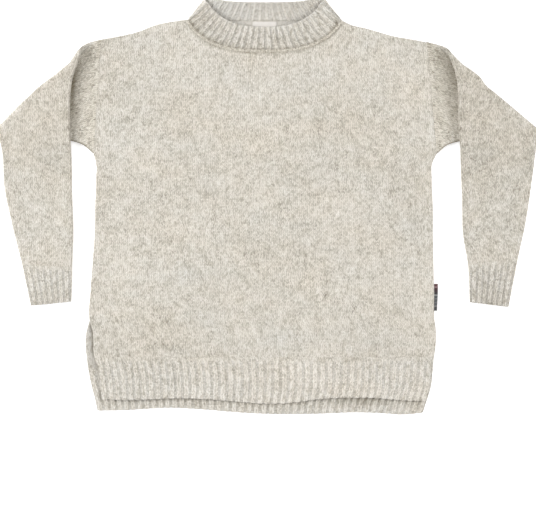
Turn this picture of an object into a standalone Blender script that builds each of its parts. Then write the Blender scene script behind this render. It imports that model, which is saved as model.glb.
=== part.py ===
"""A wool sweater with drop shoulders, laid flat on its back.

Metres, +Z up. The neck points along +Y and the sweater's own left side is at +X. The back lies on
Z = 0 with the front on top of it, and each sleeve is folded slantwise over its own upper end, so
that it lies on the front side of its stub and then comes down to the surface.

Every piece is a closed wall: an outer face and an inner face, joined round the edges. The body,
the sleeves and the cuffs are flattened tubes, whose two layers turn into each other on a small
radius. The collar is a ring that narrows upwards. Ribs are raised in the walls' outer points.
"""
import math

import bmesh
import bpy
import numpy as np

MM = 0.001

# The knit
WALL = 3.0 * MM             # plain knit, through its thickness
LAYER_GAP = 0.8 * MM        # air between two layers that lie on each other
SEAM_GAP = 0.3 * MM         # between two pieces that are sewn together
INNER = LAYER_GAP / 2       # radius on which a tube's inner face turns at its edge
OUTER = INNER + WALL        # and its outer face
MID = OUTER                 # height of the plane between the two layers
RIB_FOOT = 1.8 * MM         # thickness of a rib band in its grooves
RIB_RISE = 1.6 * MM         # how far its ribs stand above them

# Place of the body's centre line, which is a little off the middle of the whole outline
CENTRE_X = -5.0 * MM

# Body outline: distance of the side edges from the centre line, by height. The side seams close
# it between SLIT_TOP and UNDERARM. Above them is the straight armhole, below them the open slit.
BODY_EDGES = np.array((
    # height, right front, right back, left front, left back
    (-362, 281.0, 292.0, 276.0, 277.0),
    (-337, 286.5, 297.0, 283.5, 285.0),
    (-317, 291.0, 302.5, 289.5, 291.0),
    (-284, 297.5, 309.0, 293.0, 295.0),
    (-252, 301.0, 313.0, 298.0, 297.5),
    (-232, 301.5, 314.0, 300.0, 298.5),
    (-218, 303.0, 312.0, 300.0, 298.0),
    (-198, 306.5, 306.5, 297.5, 297.5),
    (-149, 305.0, 305.0, 297.0, 297.0),
    (-107, 302.0, 302.0, 296.0, 296.0),
    (-51, 298.0, 298.0, 295.0, 295.0),
    (-9, 297.0, 297.0, 295.0, 295.0),
    (47, 295.0, 295.0, 293.0, 293.0),
    (76, 295.0, 295.0, 293.5, 293.5),
    (93, 299.0, 299.0, 301.5, 301.5))) * MM
SLIT_TOP = -198 * MM
UNDERARM = 93 * MM
SHOULDER_END = 290 * MM     # height at which the straight armhole seams end
ARMHOLE_TOP = {-1: 286 * MM, 1: 284 * MM}
EDGE_BLEND = 14 * MM        # length over which a side edge goes from turned to flat
# Heights of the panels' rows up to the underarms, closest together beside the slits
PANEL_ROWS = (-290, -250, -234, -220, -208, -197, -183, -150, -110, -70, -30, 10, 45, 78)

# Shoulder line, left of the neck and right of it
SHOULDERS = np.array((
    # across, height
    (-316, 284), (-286, 293), (-258, 298), (-223, 306), (-188, 319), (-150, 326), (-134, 328),
    (135, 327), (148, 320), (176, 313), (225, 299), (270, 291), (284, 288), (316, 278))) * MM

# Lower edges of the two hem bands, which are wavy and longer at the back
HEM_EDGES = np.array((
    # across, front, back
    (-300, -336, -357), (-245, -338, -356), (-157, -334.5, -352), (-113, -335.5, -354.5),
    (-45, -340, -360), (0, -343.5, -362.5), (52, -341.5, -363), (90, -335.5, -362.5),
    (167, -332, -360), (214, -334.5, -362), (234, -337, -363.5), (300, -340, -358))) * MM
FRONT_BAND_TOP = -263 * MM
BACK_BAND_TOP = -284 * MM
HEM_RIBS = 43
HEM_LIFT = 1.2 * MM         # how far the front hem's lower edge lifts off the back

# Neck and collar
NECK_HALF = 134.5 * MM
NECK_Y = 327.5 * MM         # height of the neckline's corners on the shoulders
FRONT_NECK_DEPTH = 59 * MM
BACK_NECK_DEPTH = 3.5 * MM
RIM_HALF = 105 * MM         # half width of the collar's upper edge
RIM_Y = 360 * MM
FRONT_RIM_DEPTH = 45.5 * MM
BACK_RIM_DEPTH = 5.5 * MM
NECK_SQUARENESS = 2.3       # 2 is an oval curve, and more has a flatter middle and rounder corners
FRONT_RIM_SQUARENESS = 2.8
BACK_RIM_SQUARENESS = 4.0
RIM_FRONT_Z = 13 * MM
RIM_SIDE_Z = 15.5 * MM
RIM_BACK_Z = 17 * MM
RIM_TURN = 6 * MM           # radius on which the collar's upper edge turns at its sides
COLLAR_WALL = 2.6 * MM
COLLAR_RIB = 0.75 * MM      # half the height of the collar's ribs, which show on both faces
COLLAR_PITCH = 11 * MM
COLLAR_LEAN = math.radians(75)      # how far its sides lean towards +Y at the rim
COLLAR_START = 0.5 * MM     # from the neckline to the collar's lower edge
RIBS_FROM = 0.16            # share of the collar's height over which its ribs rise

# Sleeves laid out straight, before they are folded
RIGHT_SLEEVE = np.array((
    # distance from the centre line, upper edge, lower edge
    (286, 293, 84), (299, 290, 93), (314, 284.5, 106), (336, 276, 115), (357, 268.5, 118),
    (380, 264, 120), (410, 262.5, 124), (450, 264, 131), (500, 269, 147), (570, 274, 155.5),
    (640, 280, 174), (705, 281.5, 194), (775, 283, 213))) * MM
LEFT_SLEEVE = np.array((
    # distance from the centre line, upper edge, lower edge
    (284, 289, 84), (301.5, 284.5, 93), (318, 278.5, 107), (338, 271.5, 114), (358, 266.5, 118),
    (377, 265, 121), (410, 266.5, 126), (450, 271, 133), (500, 273, 140), (577, 279.5, 158),
    (645, 285.5, 177), (700, 283, 196), (780, 289, 221.5))) * MM
# Two points of each folded edge, as it shows from above
RIGHT_FOLD = np.array(((316, 282.5), (461, 145))) * MM
LEFT_FOLD = np.array(((318, 278), (472, 141))) * MM
FOLD_AXIS_Z = 8.4 * MM      # height of the line that a sleeve is folded about
FALL_LENGTH = 62 * MM       # over which the folded sleeve comes down beside its stub
STEEPEST_ROW = 0.55         # least sine of the angle between a row and the sleeve's edge
BEND_ROWS = 7               # steps round the fold
CUFF_TOP = {"right": (704 * MM, 704 * MM), "left": (699 * MM, 697 * MM)}
CUFF_END = {"right": (764 * MM, 775 * MM), "left": (764 * MM, 780 * MM)}
CUFF_RIBS = 16
RESTING_STEP = 7            # one in so many of a rib band's columns is kept where it lies plain

# Soft rises of the cloth where it doesn't lie quite flat
PUFFS = np.array((
    # across, height, half length, half width, rise, turn in degrees
    (-150, 150, 120, 45, 1.6, 60),
    (60, 90, 150, 60, 1.4, 100),
    (190, -40, 130, 40, 1.7, 80),
    (-90, -120, 140, 50, 1.5, 95),
    (120, -190, 90, 40, 1.3, 20),
    (-220, -60, 110, 28, 1.5, 84),
    (0, 215, 130, 22, 1.2, 4),
    (215, 190, 80, 30, 1.6, 125)))

# Label in the back neck and woven tag in the left side seam
LABEL_SIZE = (42 * MM, 17 * MM, 0.8 * MM)
LABEL_TOP = 323.2 * MM
TAG_SIZE = (8.5 * MM, 47 * MM, 1.2 * MM)
TAG_TOP = -135 * MM


# ---------------------------------------------------------------- curves

def smooth(fraction):
    """Goes from 0 to 1 with level ends."""
    f = np.clip(fraction, 0.0, 1.0)
    return f * f * (3 - 2 * f)


def through(x, xs, ys):
    """A smooth curve through the points of a short table."""
    x = np.clip(x, xs[0], xs[-1])
    slopes = np.gradient(ys, xs)
    i = np.clip(np.searchsorted(xs, x) - 1, 0, len(xs) - 2)
    width = xs[i + 1] - xs[i]
    f = (x - xs[i]) / width
    return (ys[i] * (1 + 2 * f) * (1 - f) ** 2 + ys[i + 1] * f * f * (3 - 2 * f)
            + width * f * (1 - f) * (slopes[i] * (1 - f) - slopes[i + 1] * f))


def neck_curve(x, half, corner_y, depth, squareness):
    """A neckline or collar edge, hanging between two corners."""
    share = np.clip(np.abs(x) / half, 0.0, 1.0) ** squareness
    return corner_y - depth * (1 - share) ** 0.75


def rib_profile(phase):
    """0 in a groove and 1 on a rib, once for each whole number of phase."""
    f = np.asarray(phase) % 1.0
    return np.where((f > 0.25) & (f < 0.75), 1.0, 0.0)


def rib_columns(count):
    """Phases of a rib band's columns: two in each groove and two on each rib."""
    corners = (-0.20, 0.20, 0.30, 0.70)
    return np.array([i + 0.5 + c - 0.25 for i in range(count) for c in corners])


# ---------------------------------------------------------------- walls

def zip_edges(faces, first, second, first_at, second_at):
    """Joins two rows of vertices with triangles, whatever the number of points in each."""
    i = j = 0
    while i < len(first) - 1 or j < len(second) - 1:
        at_first = first_at[i + 1] if i < len(first) - 1 else math.inf
        at_second = second_at[j + 1] if j < len(second) - 1 else math.inf
        if at_first <= at_second:
            faces.append((first[i], first[i + 1], second[j]))
            i += 1
        else:
            faces.append((first[i], second[j + 1], second[j]))
            j += 1


def grid_faces(faces, ids):
    """Four-sided faces between the rows and columns of a grid of vertices."""
    for lower, upper in zip(ids[:-1], ids[1:]):
        for k in range(len(lower) - 1):
            faces.append((lower[k], lower[k + 1], upper[k + 1], upper[k]))


def make_wall(name, outer, inner, outer_at, inner_at, ring, material):
    """One piece of cloth, from the grids of its two faces.

    outer and inner hold rows of points. outer_at and inner_at hold where each face's columns and
    rows are, so that the edges of a fine and of a coarse grid can be joined. In a ring the last
    column meets the first, so its columns' places start at 0 and go up to less than 1.
    """
    faces = []
    edges = []
    start = 0
    for grid, (columns, rows) in ((outer, outer_at), (inner, inner_at)):
        ids = start + np.arange(grid.shape[0] * grid.shape[1]).reshape(grid.shape[:2])
        start += ids.size
        columns = np.asarray(columns)
        if ring:
            ids = np.hstack((ids, ids[:, :1]))
            columns = np.append(columns, columns[0] + 1)
        grid_faces(faces, ids.tolist())
        sides = [(ids[0], columns), (ids[-1], columns)]
        if not ring:
            sides += [(ids[:, 0], rows), (ids[:, -1], rows)]
        edges.append(sides)
    for (first, first_at), (second, second_at) in zip(*edges):
        zip_edges(faces, first.tolist(), second.tolist(), first_at, second_at)
    points = np.vstack((outer.reshape(-1, 3), inner.reshape(-1, 3)))
    points[:, 0] += CENTRE_X
    mesh = bpy.data.meshes.new(name)
    mesh.from_pydata(points.tolist(), [], faces)
    face_out(mesh)
    mesh.shade_smooth()
    mesh.set_sharp_from_angle(angle=math.radians(50))
    mesh.materials.append(material)
    piece = bpy.data.objects.new(name, mesh)
    bpy.context.collection.objects.link(piece)
    return piece


def face_out(mesh):
    """Turns all of a closed mesh's faces outwards."""
    bm = bmesh.new()
    bm.from_mesh(mesh)
    bmesh.ops.recalc_face_normals(bm, faces=bm.faces)
    bm.to_mesh(mesh)
    bm.free()


def cloth_material(name, colour, roughness):
    material = bpy.data.materials.new(name)
    material.use_nodes = True
    shader = material.node_tree.nodes["Principled BSDF"]
    shader.inputs["Base Color"].default_value = (*colour, 1.0)
    shader.inputs["Roughness"].default_value = roughness
    shader.inputs["Metallic"].default_value = 0.0
    return material


# ---------------------------------------------------------------- body

def edge_x(side, layer, y):
    """Place across of the body's edge. side is -1 right or 1 left, layer 1 front or -1 back."""
    column = (1 if side < 0 else 3) + (0 if layer > 0 else 1)
    below = through(y, BODY_EDGES[:, 0], BODY_EDGES[:, column])
    start = BODY_EDGES[-1, column]
    share = (y - UNDERARM) / (SHOULDER_END - UNDERARM)
    armhole = start + share * (ARMHOLE_TOP[side] - start)
    return side * np.where(y > UNDERARM, armhole, below)


def side_turn(y):
    """1 where the side seam closes the body's edge, 0 at the armhole and the slit."""
    above = smooth((UNDERARM - y) / EDGE_BLEND)
    below = smooth((y - SLIT_TOP) / EDGE_BLEND)
    return above * below


def neckline(x, layer):
    depth = FRONT_NECK_DEPTH if layer > 0 else BACK_NECK_DEPTH
    return neck_curve(x, NECK_HALF, NECK_Y, depth, NECK_SQUARENESS)


def top_y(x, layer):
    """The body's upper edge: shoulder lines, and the neckline between them."""
    shoulder = through(x, SHOULDERS[:, 0], SHOULDERS[:, 1])
    return np.where(np.abs(x) < NECK_HALF, neckline(x, layer), shoulder)


def puff(x, y):
    """How far the front rises off the back at a place. It lies down towards its seams."""
    rise = 0.0
    for across, height, half_length, half_width, peak, turn in PUFFS:
        c, s = math.cos(math.radians(turn)), math.sin(math.radians(turn))
        along = ((x / MM - across) * c + (y / MM - height) * s) / half_length
        aside = ((y / MM - height) * c - (x / MM - across) * s) / half_width
        rise = rise + peak * MM * np.exp(-along ** 2 - aside ** 2)
    room = np.minimum(edge_x(1, 1, y) - x, x - edge_x(-1, 1, y))
    room = np.minimum(room, top_y(x, 1) - y)
    return rise * smooth(room / (40 * MM))


def spread(side_angles, middle):
    """Columns across a panel: a share of its width, and the angle turned at its two edges."""
    columns = [(0.0, a) for a in side_angles]
    columns += [(t, 0.0) for t in middle]
    columns += [(1.0, a) for a in reversed(side_angles)]
    return columns


def panel_face(layer, radius, columns, rows):
    """One face of the front or back, as a grid of points. radius picks the face. A row has the
    height that it starts from, its share of the way up from there, and the angle turned at the
    shoulder."""
    grid = np.zeros((len(rows), len(columns), 3))
    for j, (share, angle) in enumerate(columns):
        y_top = NECK_Y
        x = 0.0
        for _ in range(12):
            x = panel_x(layer, y_top, share, angle, radius)
            y_top = float(top_y(x, layer))
        on_shoulder = float(smooth((abs(x) - NECK_HALF) / (5 * MM)))
        y_low = FRONT_BAND_TOP if layer > 0 else BACK_BAND_TOP
        y_low += SEAM_GAP
        for i, (base, height, lean) in enumerate(rows):
            base = max(base, y_low)
            reach = math.sin(lean) * (on_shoulder * radius + (1 - on_shoulder) * OUTER)
            neck_gap = (1 - on_shoulder) * SEAM_GAP
            y = base + height * (y_top - OUTER - neck_gap - base) + reach
            x = panel_x(layer, y, share, angle, radius)
            turn = float(side_turn(y))
            drop = 1 - turn * (1 - math.cos(angle))
            drop *= 1 - on_shoulder * (1 - math.cos(lean))
            z = MID + layer * max(SEAM_GAP / 2, radius * drop)
            if layer > 0:
                z += float(puff(x, y))
            grid[i, j] = (x, y, z)
    return grid


def panel_x(layer, y, share, angle, radius):
    left = edge_x(1, layer, y)
    right = edge_x(-1, layer, y)
    if angle == 0.0:
        return float(right + OUTER + share * (left - right - 2 * OUTER))
    turn = side_turn(y)
    inset = OUTER - math.sin(angle) * (turn * radius + (1 - turn) * OUTER)
    return float(right + inset if share == 0.0 else left - inset)


def make_panel(name, layer, shoulder_count, neck_count, material):
    """The front or the back, with so many columns to each shoulder and across the neck."""
    side_angles = [math.radians(a) for a in (90, 60, 30)]
    low, high = edge_x(-1, layer, NECK_Y) + OUTER, edge_x(1, layer, NECK_Y) - OUTER
    first, last = (-NECK_HALF - low) / (high - low), (NECK_HALF - low) / (high - low)
    neck = (first + (last - first) * (1 - math.cos(math.pi * k / neck_count)) / 2
            for k in range(neck_count))
    middle = (*np.linspace(0, first, shoulder_count + 1)[:-1], *neck,
              *np.linspace(last, 1, shoulder_count + 1))
    columns = spread(side_angles, middle)
    rows = [(y * MM, 0.0, 0.0) for y in PANEL_ROWS]
    rows += [(UNDERARM, k / 6, 0.0) for k in range(7)]
    rows += [(UNDERARM, 1.0, math.radians(a)) for a in (30, 60, 90)]
    places = (np.arange(len(columns)), np.arange(len(rows)))
    outer = panel_face(layer, OUTER, columns, rows)
    inner = panel_face(layer, INNER, columns, rows)
    return make_wall(name, outer, inner, places, places, False, material)


def make_hem(name, layer, band_top, row_count, material):
    """A ribbed band along the foot of the front or of the back."""
    phases = rib_columns(HEM_RIBS)
    fine = (phases - phases[0]) / (phases[-1] - phases[0])
    coarse = np.linspace(0, 1, HEM_RIBS + 1)
    heights = np.linspace(0, 1, row_count)
    rise = rib_profile(phases)
    faces = []
    for shares, raised in ((fine, rise), (coarse, None)):
        grid = np.zeros((row_count, len(shares), 3))
        for j, share in enumerate(shares):
            for i, height in enumerate(heights):
                x = 0.0
                for _ in range(4):
                    y_low = through(x, HEM_EDGES[:, 0], HEM_EDGES[:, 1 if layer > 0 else 2])
                    y = float(y_low + height * (band_top - y_low))
                    right, left = edge_x(-1, layer, y), edge_x(1, layer, y)
                    x = float(right + share * (left - right))
                thick = 0.0 if raised is None else RIB_FOOT + RIB_RISE * raised[j]
                if layer > 0:
                    z = MID + INNER + thick + float(puff(x, y)) + HEM_LIFT * (1 - height) ** 2
                else:
                    z = thick
                grid[i, j] = (x, y, z)
        faces.append(grid)
    return make_wall(name, faces[0], faces[1], (fine, heights), (coarse, heights), False, material)


# ---------------------------------------------------------------- sleeves

class Sleeve:
    """One sleeve: its outline laid straight, and the fold that turns it over its own stub."""

    def __init__(self, side, table, fold):
        self.side = side
        self.table = table
        along = (fold[1] - fold[0]) / np.linalg.norm(fold[1] - fold[0])
        self.along = along
        self.out = np.array((-along[1], along[0]))
        self.axis = fold[0] - self.out * FOLD_AXIS_Z
        self.bend = FOLD_AXIS_Z - MID       # radius of the plane between the layers
        self.bend_length = math.pi * self.bend
        self.fold_top = self.crossing(0.0, 1)
        self.fold_low = self.crossing(0.0, 2)
        self.over_top = self.crossing(self.bend_length, 1)
        self.over_low = self.crossing(self.bend_length, 2)

    def edge(self, u, column):
        """A point of the upper (1) or lower (2) edge, at a distance from the centre line."""
        return np.array((u, float(through(u, self.table[:, 0], self.table[:, column]))))

    def past_fold(self, point):
        return float((point - self.axis) @ self.out)

    def crossing(self, distance, column):
        """Where an edge is so far past the fold's axis."""
        low, high = self.table[0, 0], self.table[-1, 0]
        for _ in range(40):
            u = (low + high) / 2
            if self.past_fold(self.edge(u, column)) < distance:
                low = u
            else:
                high = u
        return u

    def station(self, top_u, low_u):
        """A row across the laid-out sleeve: its two ends, and how its edges slope to it."""
        top, low = self.edge(top_u, 1), self.edge(low_u, 2)
        across = (low - top) / np.linalg.norm(low - top)
        slopes = []
        for u, column in ((top_u, 1), (low_u, 2)):
            step = self.edge(u + MM, column) - self.edge(u - MM, column)
            step /= np.linalg.norm(step)
            slopes.append(max(STEEPEST_ROW, abs(step[0] * across[1] - step[1] * across[0])))
        return top, low, slopes

    def laid_out(self, station, place, radius):
        """A point of the straight sleeve. place runs round the tube from 0 to 4: the front, the
        lower edge, the back and the upper edge."""
        top, low, (top_slope, low_slope) = station
        width = np.linalg.norm(low - top)
        start = OUTER / (top_slope * width)
        end = 1 - OUTER / (low_slope * width)
        part, f = int(place), place - int(place)
        angle = math.pi * f
        if part == 0:
            share, height = start + f * (end - start), MID + radius
        elif part == 1:
            share = end + radius * math.sin(angle) / (low_slope * width)
            height = MID + radius * math.cos(angle)
        elif part == 2:
            share, height = end - f * (end - start), MID - radius
        else:
            share = start - radius * math.sin(angle) / (top_slope * width)
            height = MID - radius * math.cos(angle)
        return top + share * (low - top), height

    def folded(self, point, height):
        """Where a point of the straight sleeve comes to lie."""
        past = self.past_fold(point)
        along = float((point - self.axis) @ self.along)
        arm = FOLD_AXIS_Z - height
        angle = min(max(past / self.bend, 0.0), math.pi)
        over = max(past - self.bend_length, 0.0)
        back = min(past, 0.0) + arm * math.sin(angle) - over
        u, y = self.axis + self.along * along + self.out * back
        z = FOLD_AXIS_Z - arm * math.cos(angle)
        if over > 0:
            foot = float(through(u, self.table[:, 0], self.table[:, 2]))
            z -= (2 * FOLD_AXIS_Z - 2 * MID) * float(smooth((foot - y) / FALL_LENGTH))
        return self.side * u, y, z

    def rows(self):
        """Stations from the armhole to the cuff, closest together where the sleeve bends."""
        seam = [abs(float(edge_x(self.side, 1, y))) + SEAM_GAP for y in (SHOULDER_END, UNDERARM)]
        cuff = CUFF_TOP["right" if self.side < 0 else "left"]
        rows = [self.station(seam[0] + f * (self.fold_top - seam[0]),
                             seam[1] + f * (self.fold_low - seam[1]))
                for f in (0.0, 0.2, 0.4, 0.6, 0.8, 0.93)]
        for k in range(BEND_ROWS + 1):
            distance = self.bend_length * k / BEND_ROWS
            rows.append(self.station(self.crossing(distance, 1), self.crossing(distance, 2)))
        for f in (0.05, 0.13, 0.22, 0.31, 0.4, 0.5, 0.6, 0.7, 0.8, 0.9, 1.0):
            rows.append(self.station(self.over_top + f * (cuff[0] - self.over_top),
                                     self.over_low + f * (cuff[1] - self.over_low)))
        return rows

    def face(self, rows, places, radii):
        return np.array([[self.folded(*self.laid_out(row, place, radius))
                          for place, radius in zip(places, radii)] for row in rows])


def make_sleeve(name, sleeve, material):
    places = np.concatenate((np.linspace(0, 1, 7)[:-1], np.linspace(1, 2, 5)[:-1],
                             np.linspace(2, 3, 7)[:-1], np.linspace(3, 4, 5)[:-1]))
    rows = sleeve.rows()
    outer = sleeve.face(rows, places, [OUTER] * len(places))
    inner = sleeve.face(rows, places, [INNER] * len(places))
    at = (places / 4, None)
    return make_wall(name, outer, inner, at, at, True, material)


def make_cuff(name, sleeve, material):
    """A ribbed band at the sleeve's end. Its ribs stop where it lies on the surface."""
    key = "right" if sleeve.side < 0 else "left"
    (top_start, low_start), (top_end, low_end) = CUFF_TOP[key], CUFF_END[key]
    rows = [sleeve.station(top_start + SEAM_GAP, low_start + SEAM_GAP),
            sleeve.station(top_end, low_end)]
    width = float(np.linalg.norm(rows[1][1] - rows[1][0])) - 2 * OUTER
    arc = math.pi * OUTER
    lengths = np.cumsum((0.0, width, arc, width, arc))
    phases = rib_columns(CUFF_RIBS)
    raised = rib_profile(phases)
    at = (phases - phases[0]) / CUFF_RIBS
    places = np.interp(at * lengths[-1], lengths, range(5))
    kept = (places > 1.0) | (np.arange(len(places)) % RESTING_STEP == 0)
    at, places, raised = at[kept], places[kept], raised[kept]
    resting = places < 1.0
    radii = np.where(resting, OUTER, INNER + RIB_FOOT + RIB_RISE * raised)
    coarse = np.concatenate((np.linspace(0, 1, 5)[:-1], np.linspace(1, 2, 5)[:-1],
                             np.linspace(2, 3, 5)[:-1], np.linspace(3, 4, 5)[:-1]))
    coarse_at = np.interp(coarse, range(5), lengths) / lengths[-1]
    outer = sleeve.face(rows, places, radii)
    inner = sleeve.face(rows, coarse, [INNER] * len(coarse))
    return make_wall(name, outer, inner, (at, None), (coarse_at, None), True, material)


# ---------------------------------------------------------------- collar

def collar_middle(part, f, h):
    """A point half way through the collar's wall. part is 0 for the front, going from the right
    to the left, 1 for the left side, 2 for the back and 3 for the right side. f goes along the
    part and h from the neckline to the rim, both from 0 to 1."""
    lift = 0.35 * h + 0.65 * h * h
    seam_turn = INNER + WALL / 2
    turn = seam_turn + h * (RIM_TURN - seam_turn)
    reach = NECK_HALF + h * (RIM_HALF - NECK_HALF)
    half = reach - turn - COLLAR_WALL / 2
    side_z = MID + lift * (RIM_SIDE_Z - MID)
    lean = h * COLLAR_LEAN
    up = np.array((0.0, -math.sin(lean), math.cos(lean)))
    corner_y = NECK_Y + h * (RIM_Y - NECK_Y)
    if part in (1, 3):
        side = 1 if part == 1 else -1
        angle = math.pi * f if part == 1 else math.pi * (1 - f)
        centre = np.array((side * half, corner_y, side_z))
        return centre + turn * (np.array((side * math.sin(angle), 0, 0)) + up * math.cos(angle))
    front = part == 0
    depths = (FRONT_NECK_DEPTH, FRONT_RIM_DEPTH) if front else (BACK_NECK_DEPTH, BACK_RIM_DEPTH)
    depth = depths[0] + h * (depths[1] - depths[0])
    rim_squareness = FRONT_RIM_SQUARENESS if front else BACK_RIM_SQUARENESS
    squareness = NECK_SQUARENESS + h * (rim_squareness - NECK_SQUARENESS)
    face = 1 if front else -1
    into = float(smooth(math.sin(math.pi * f) * 3))     # leaves the side turn
    high = float(smooth(math.sin(math.pi * f) * 1.6))   # reaches its own height
    x = -face * math.cos(math.pi * f) * (half + into * (reach - half))
    end = turn * up * face
    y = float(neck_curve(x, reach, corner_y, depth, squareness))
    y = into * y + (1 - into) * (corner_y + end[1])
    middle_z = MID + face * seam_turn
    middle_z += lift * ((RIM_FRONT_Z if front else RIM_BACK_Z) - middle_z)
    z = side_z + end[2] + high * (middle_z - side_z - end[2])
    return np.array((x, y, z))


def collar_point(place, h):
    """The same, by a place from 0 to 4 round the whole collar."""
    place = place % 4.0
    return collar_middle(int(place), place - int(place), h)


def collar_normal(place, h):
    """Points out of the collar's outer face."""
    step = 0.004
    along = collar_point(place + step, h) - collar_point(place - step, h)
    low, high = max(h - 0.01, 0.0), min(h + 0.01, 1.0)
    up = collar_point(place, high) - collar_point(place, low)
    normal = np.cross(along, up)
    return normal / np.linalg.norm(normal)


def make_collar(name, material):
    steps = np.linspace(0, 4, 1601)
    middle = np.array([collar_point(min(s, 3.99999), 0.5) for s in steps])
    lengths = np.concatenate(((0,), np.cumsum(np.linalg.norm(np.diff(middle, axis=0), axis=1))))
    count = round(float(lengths[-1]) / COLLAR_PITCH)
    phases = rib_columns(count)
    raised = 2 * rib_profile(phases) - 1
    at = phases / count
    places = np.interp((at % 1.0) * lengths[-1], lengths, steps)
    heights = (COLLAR_START / (RIM_Y - NECK_Y), RIBS_FROM, 0.5, 0.8, 1.0)
    faces = []
    for face in (1, -1):
        rows = []
        for h in heights:
            shift = COLLAR_RIB * float(smooth(h / RIBS_FROM))
            rows.append([collar_point(p, h) + collar_normal(p, h)
                         * (face * COLLAR_WALL / 2 + shift * r) for p, r in zip(places, raised)])
        faces.append(np.array(rows))
    places_at = (at - at[0], None)
    return make_wall(name, faces[0], faces[1], places_at, places_at, True, material)


# ---------------------------------------------------------------- labels

def make_slab(name, plan, low, high, material):
    """A thin flat piece over a four-cornered plan, between two heights given at each corner."""
    lower = np.array([(x, y, z) for (x, y), z in zip(plan, low)]).reshape(2, 2, 3)
    upper = np.array([(x, y, z) for (x, y), z in zip(plan, high)]).reshape(2, 2, 3)
    at = (np.arange(2), np.arange(2))
    return make_wall(name, upper, lower, at, at, False, material)


def make_labels(label_material, tag_material):
    width, height, thick = LABEL_SIZE
    low_y = LABEL_TOP - height
    plan = ((-width / 2, low_y), (width / 2, low_y), (-width / 2, LABEL_TOP), (width / 2, LABEL_TOP))
    base = WALL + SEAM_GAP
    lower = (base, base, base + 0.4 * MM, base + 0.4 * MM)
    make_slab("neck_label", plan, lower, [z + thick for z in lower], label_material)
    reach, length, thick = TAG_SIZE
    plan = []
    for y in (TAG_TOP - length, TAG_TOP):
        start = float(edge_x(1, 1, y)) + 2 * SEAM_GAP
        plan += [(start, y), (start + reach, y)]
    lower = [MID - thick / 2, 1.4 * MM] * 2
    make_slab("side_tag", plan, lower, [z + thick for z in lower], tag_material)


# ---------------------------------------------------------------- the sweater

def main():
    for item in list(bpy.data.objects):
        bpy.data.objects.remove(item, do_unlink=True)
    wool = cloth_material("wool_knit", (0.68, 0.64, 0.56), 0.95)
    label = cloth_material("label_tape", (0.72, 0.68, 0.62), 0.8)
    tag = cloth_material("tag_tape", (0.08, 0.06, 0.09), 0.75)
    make_panel("front", 1, 6, 20, wool)
    make_panel("back", -1, 4, 8, wool)
    make_hem("hem_rib_front", 1, FRONT_BAND_TOP, 3, wool)
    make_hem("hem_rib_back", -1, BACK_BAND_TOP, 3, wool)
    for key, side, table, fold in (("right", -1, RIGHT_SLEEVE, RIGHT_FOLD),
                                   ("left", 1, LEFT_SLEEVE, LEFT_FOLD)):
        sleeve = Sleeve(side, table, fold)
        make_sleeve("sleeve_" + key, sleeve, wool)
        make_cuff("cuff_" + key, sleeve, wool)
    make_collar("collar", wool)
    make_labels(label, tag)


main()
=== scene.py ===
"""A wool sweater with drop shoulders, laid flat on its back with its sleeves folded in.

Metres, +Z up. The neck points along +Y, and the sweater's own left side is at +X.
"""
import math

import bmesh
import bpy
import numpy as np
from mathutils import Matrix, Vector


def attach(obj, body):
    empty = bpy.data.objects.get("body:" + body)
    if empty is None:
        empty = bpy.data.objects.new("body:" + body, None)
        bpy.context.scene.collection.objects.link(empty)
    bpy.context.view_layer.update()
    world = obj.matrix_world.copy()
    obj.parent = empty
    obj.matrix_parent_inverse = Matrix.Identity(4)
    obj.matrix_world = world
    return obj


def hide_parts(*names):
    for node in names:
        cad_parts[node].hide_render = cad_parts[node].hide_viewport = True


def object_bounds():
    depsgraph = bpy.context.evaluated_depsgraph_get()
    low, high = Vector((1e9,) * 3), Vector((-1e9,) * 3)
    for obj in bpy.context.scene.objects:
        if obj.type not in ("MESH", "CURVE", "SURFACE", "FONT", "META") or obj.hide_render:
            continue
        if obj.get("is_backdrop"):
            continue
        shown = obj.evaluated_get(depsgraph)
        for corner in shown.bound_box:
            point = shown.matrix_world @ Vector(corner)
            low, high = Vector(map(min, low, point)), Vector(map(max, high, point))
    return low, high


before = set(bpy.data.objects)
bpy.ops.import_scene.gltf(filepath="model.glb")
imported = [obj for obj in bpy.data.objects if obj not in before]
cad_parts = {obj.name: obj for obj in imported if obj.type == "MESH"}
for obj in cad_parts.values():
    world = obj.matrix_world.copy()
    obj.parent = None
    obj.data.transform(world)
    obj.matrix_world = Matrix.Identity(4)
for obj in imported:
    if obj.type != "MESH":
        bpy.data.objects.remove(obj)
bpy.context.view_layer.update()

# ---------------------------------------- table, light and camera
# The sweater lies on a white table and is seen from straight above. A wide soft light stands low
# at each side of it, the stronger one at its right, and a weak one hangs above it. The white room
# lights the rest.
TABLE_HALF = 4.0
TABLE_Z = -0.0003               # just clear of the cloth
LIGHT_SIZE = 1.6
LIGHTS = (
    # name, place, watts
    ("right_light", (-3.0, 0.35, 1.75), 108),
    ("left_light", (3.0, 0.15, 1.75), 72),
    ("high_light", (0.0, -0.2, 2.6), 15))
VIEW_CENTRE = (0.0011, -0.0966)
VIEW_WIDTH = 0.938              # across the picture, at the height of the cloth
CLOTH_HEIGHT = 0.006
LENS = 85.0
SENSOR = 36.0


def new_material(name, settings):
    """A material, its nodes, and its shader with these sockets set."""
    material = bpy.data.materials.new(name)
    material.use_nodes = True
    shader = material.node_tree.nodes["Principled BSDF"]
    for socket, value in settings.items():
        shader.inputs[socket].default_value = value
    return material, material.node_tree, shader


def placed(name, data):
    """An object in the scene."""
    made = bpy.data.objects.new(name, data)
    bpy.context.collection.objects.link(made)
    return made


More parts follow.
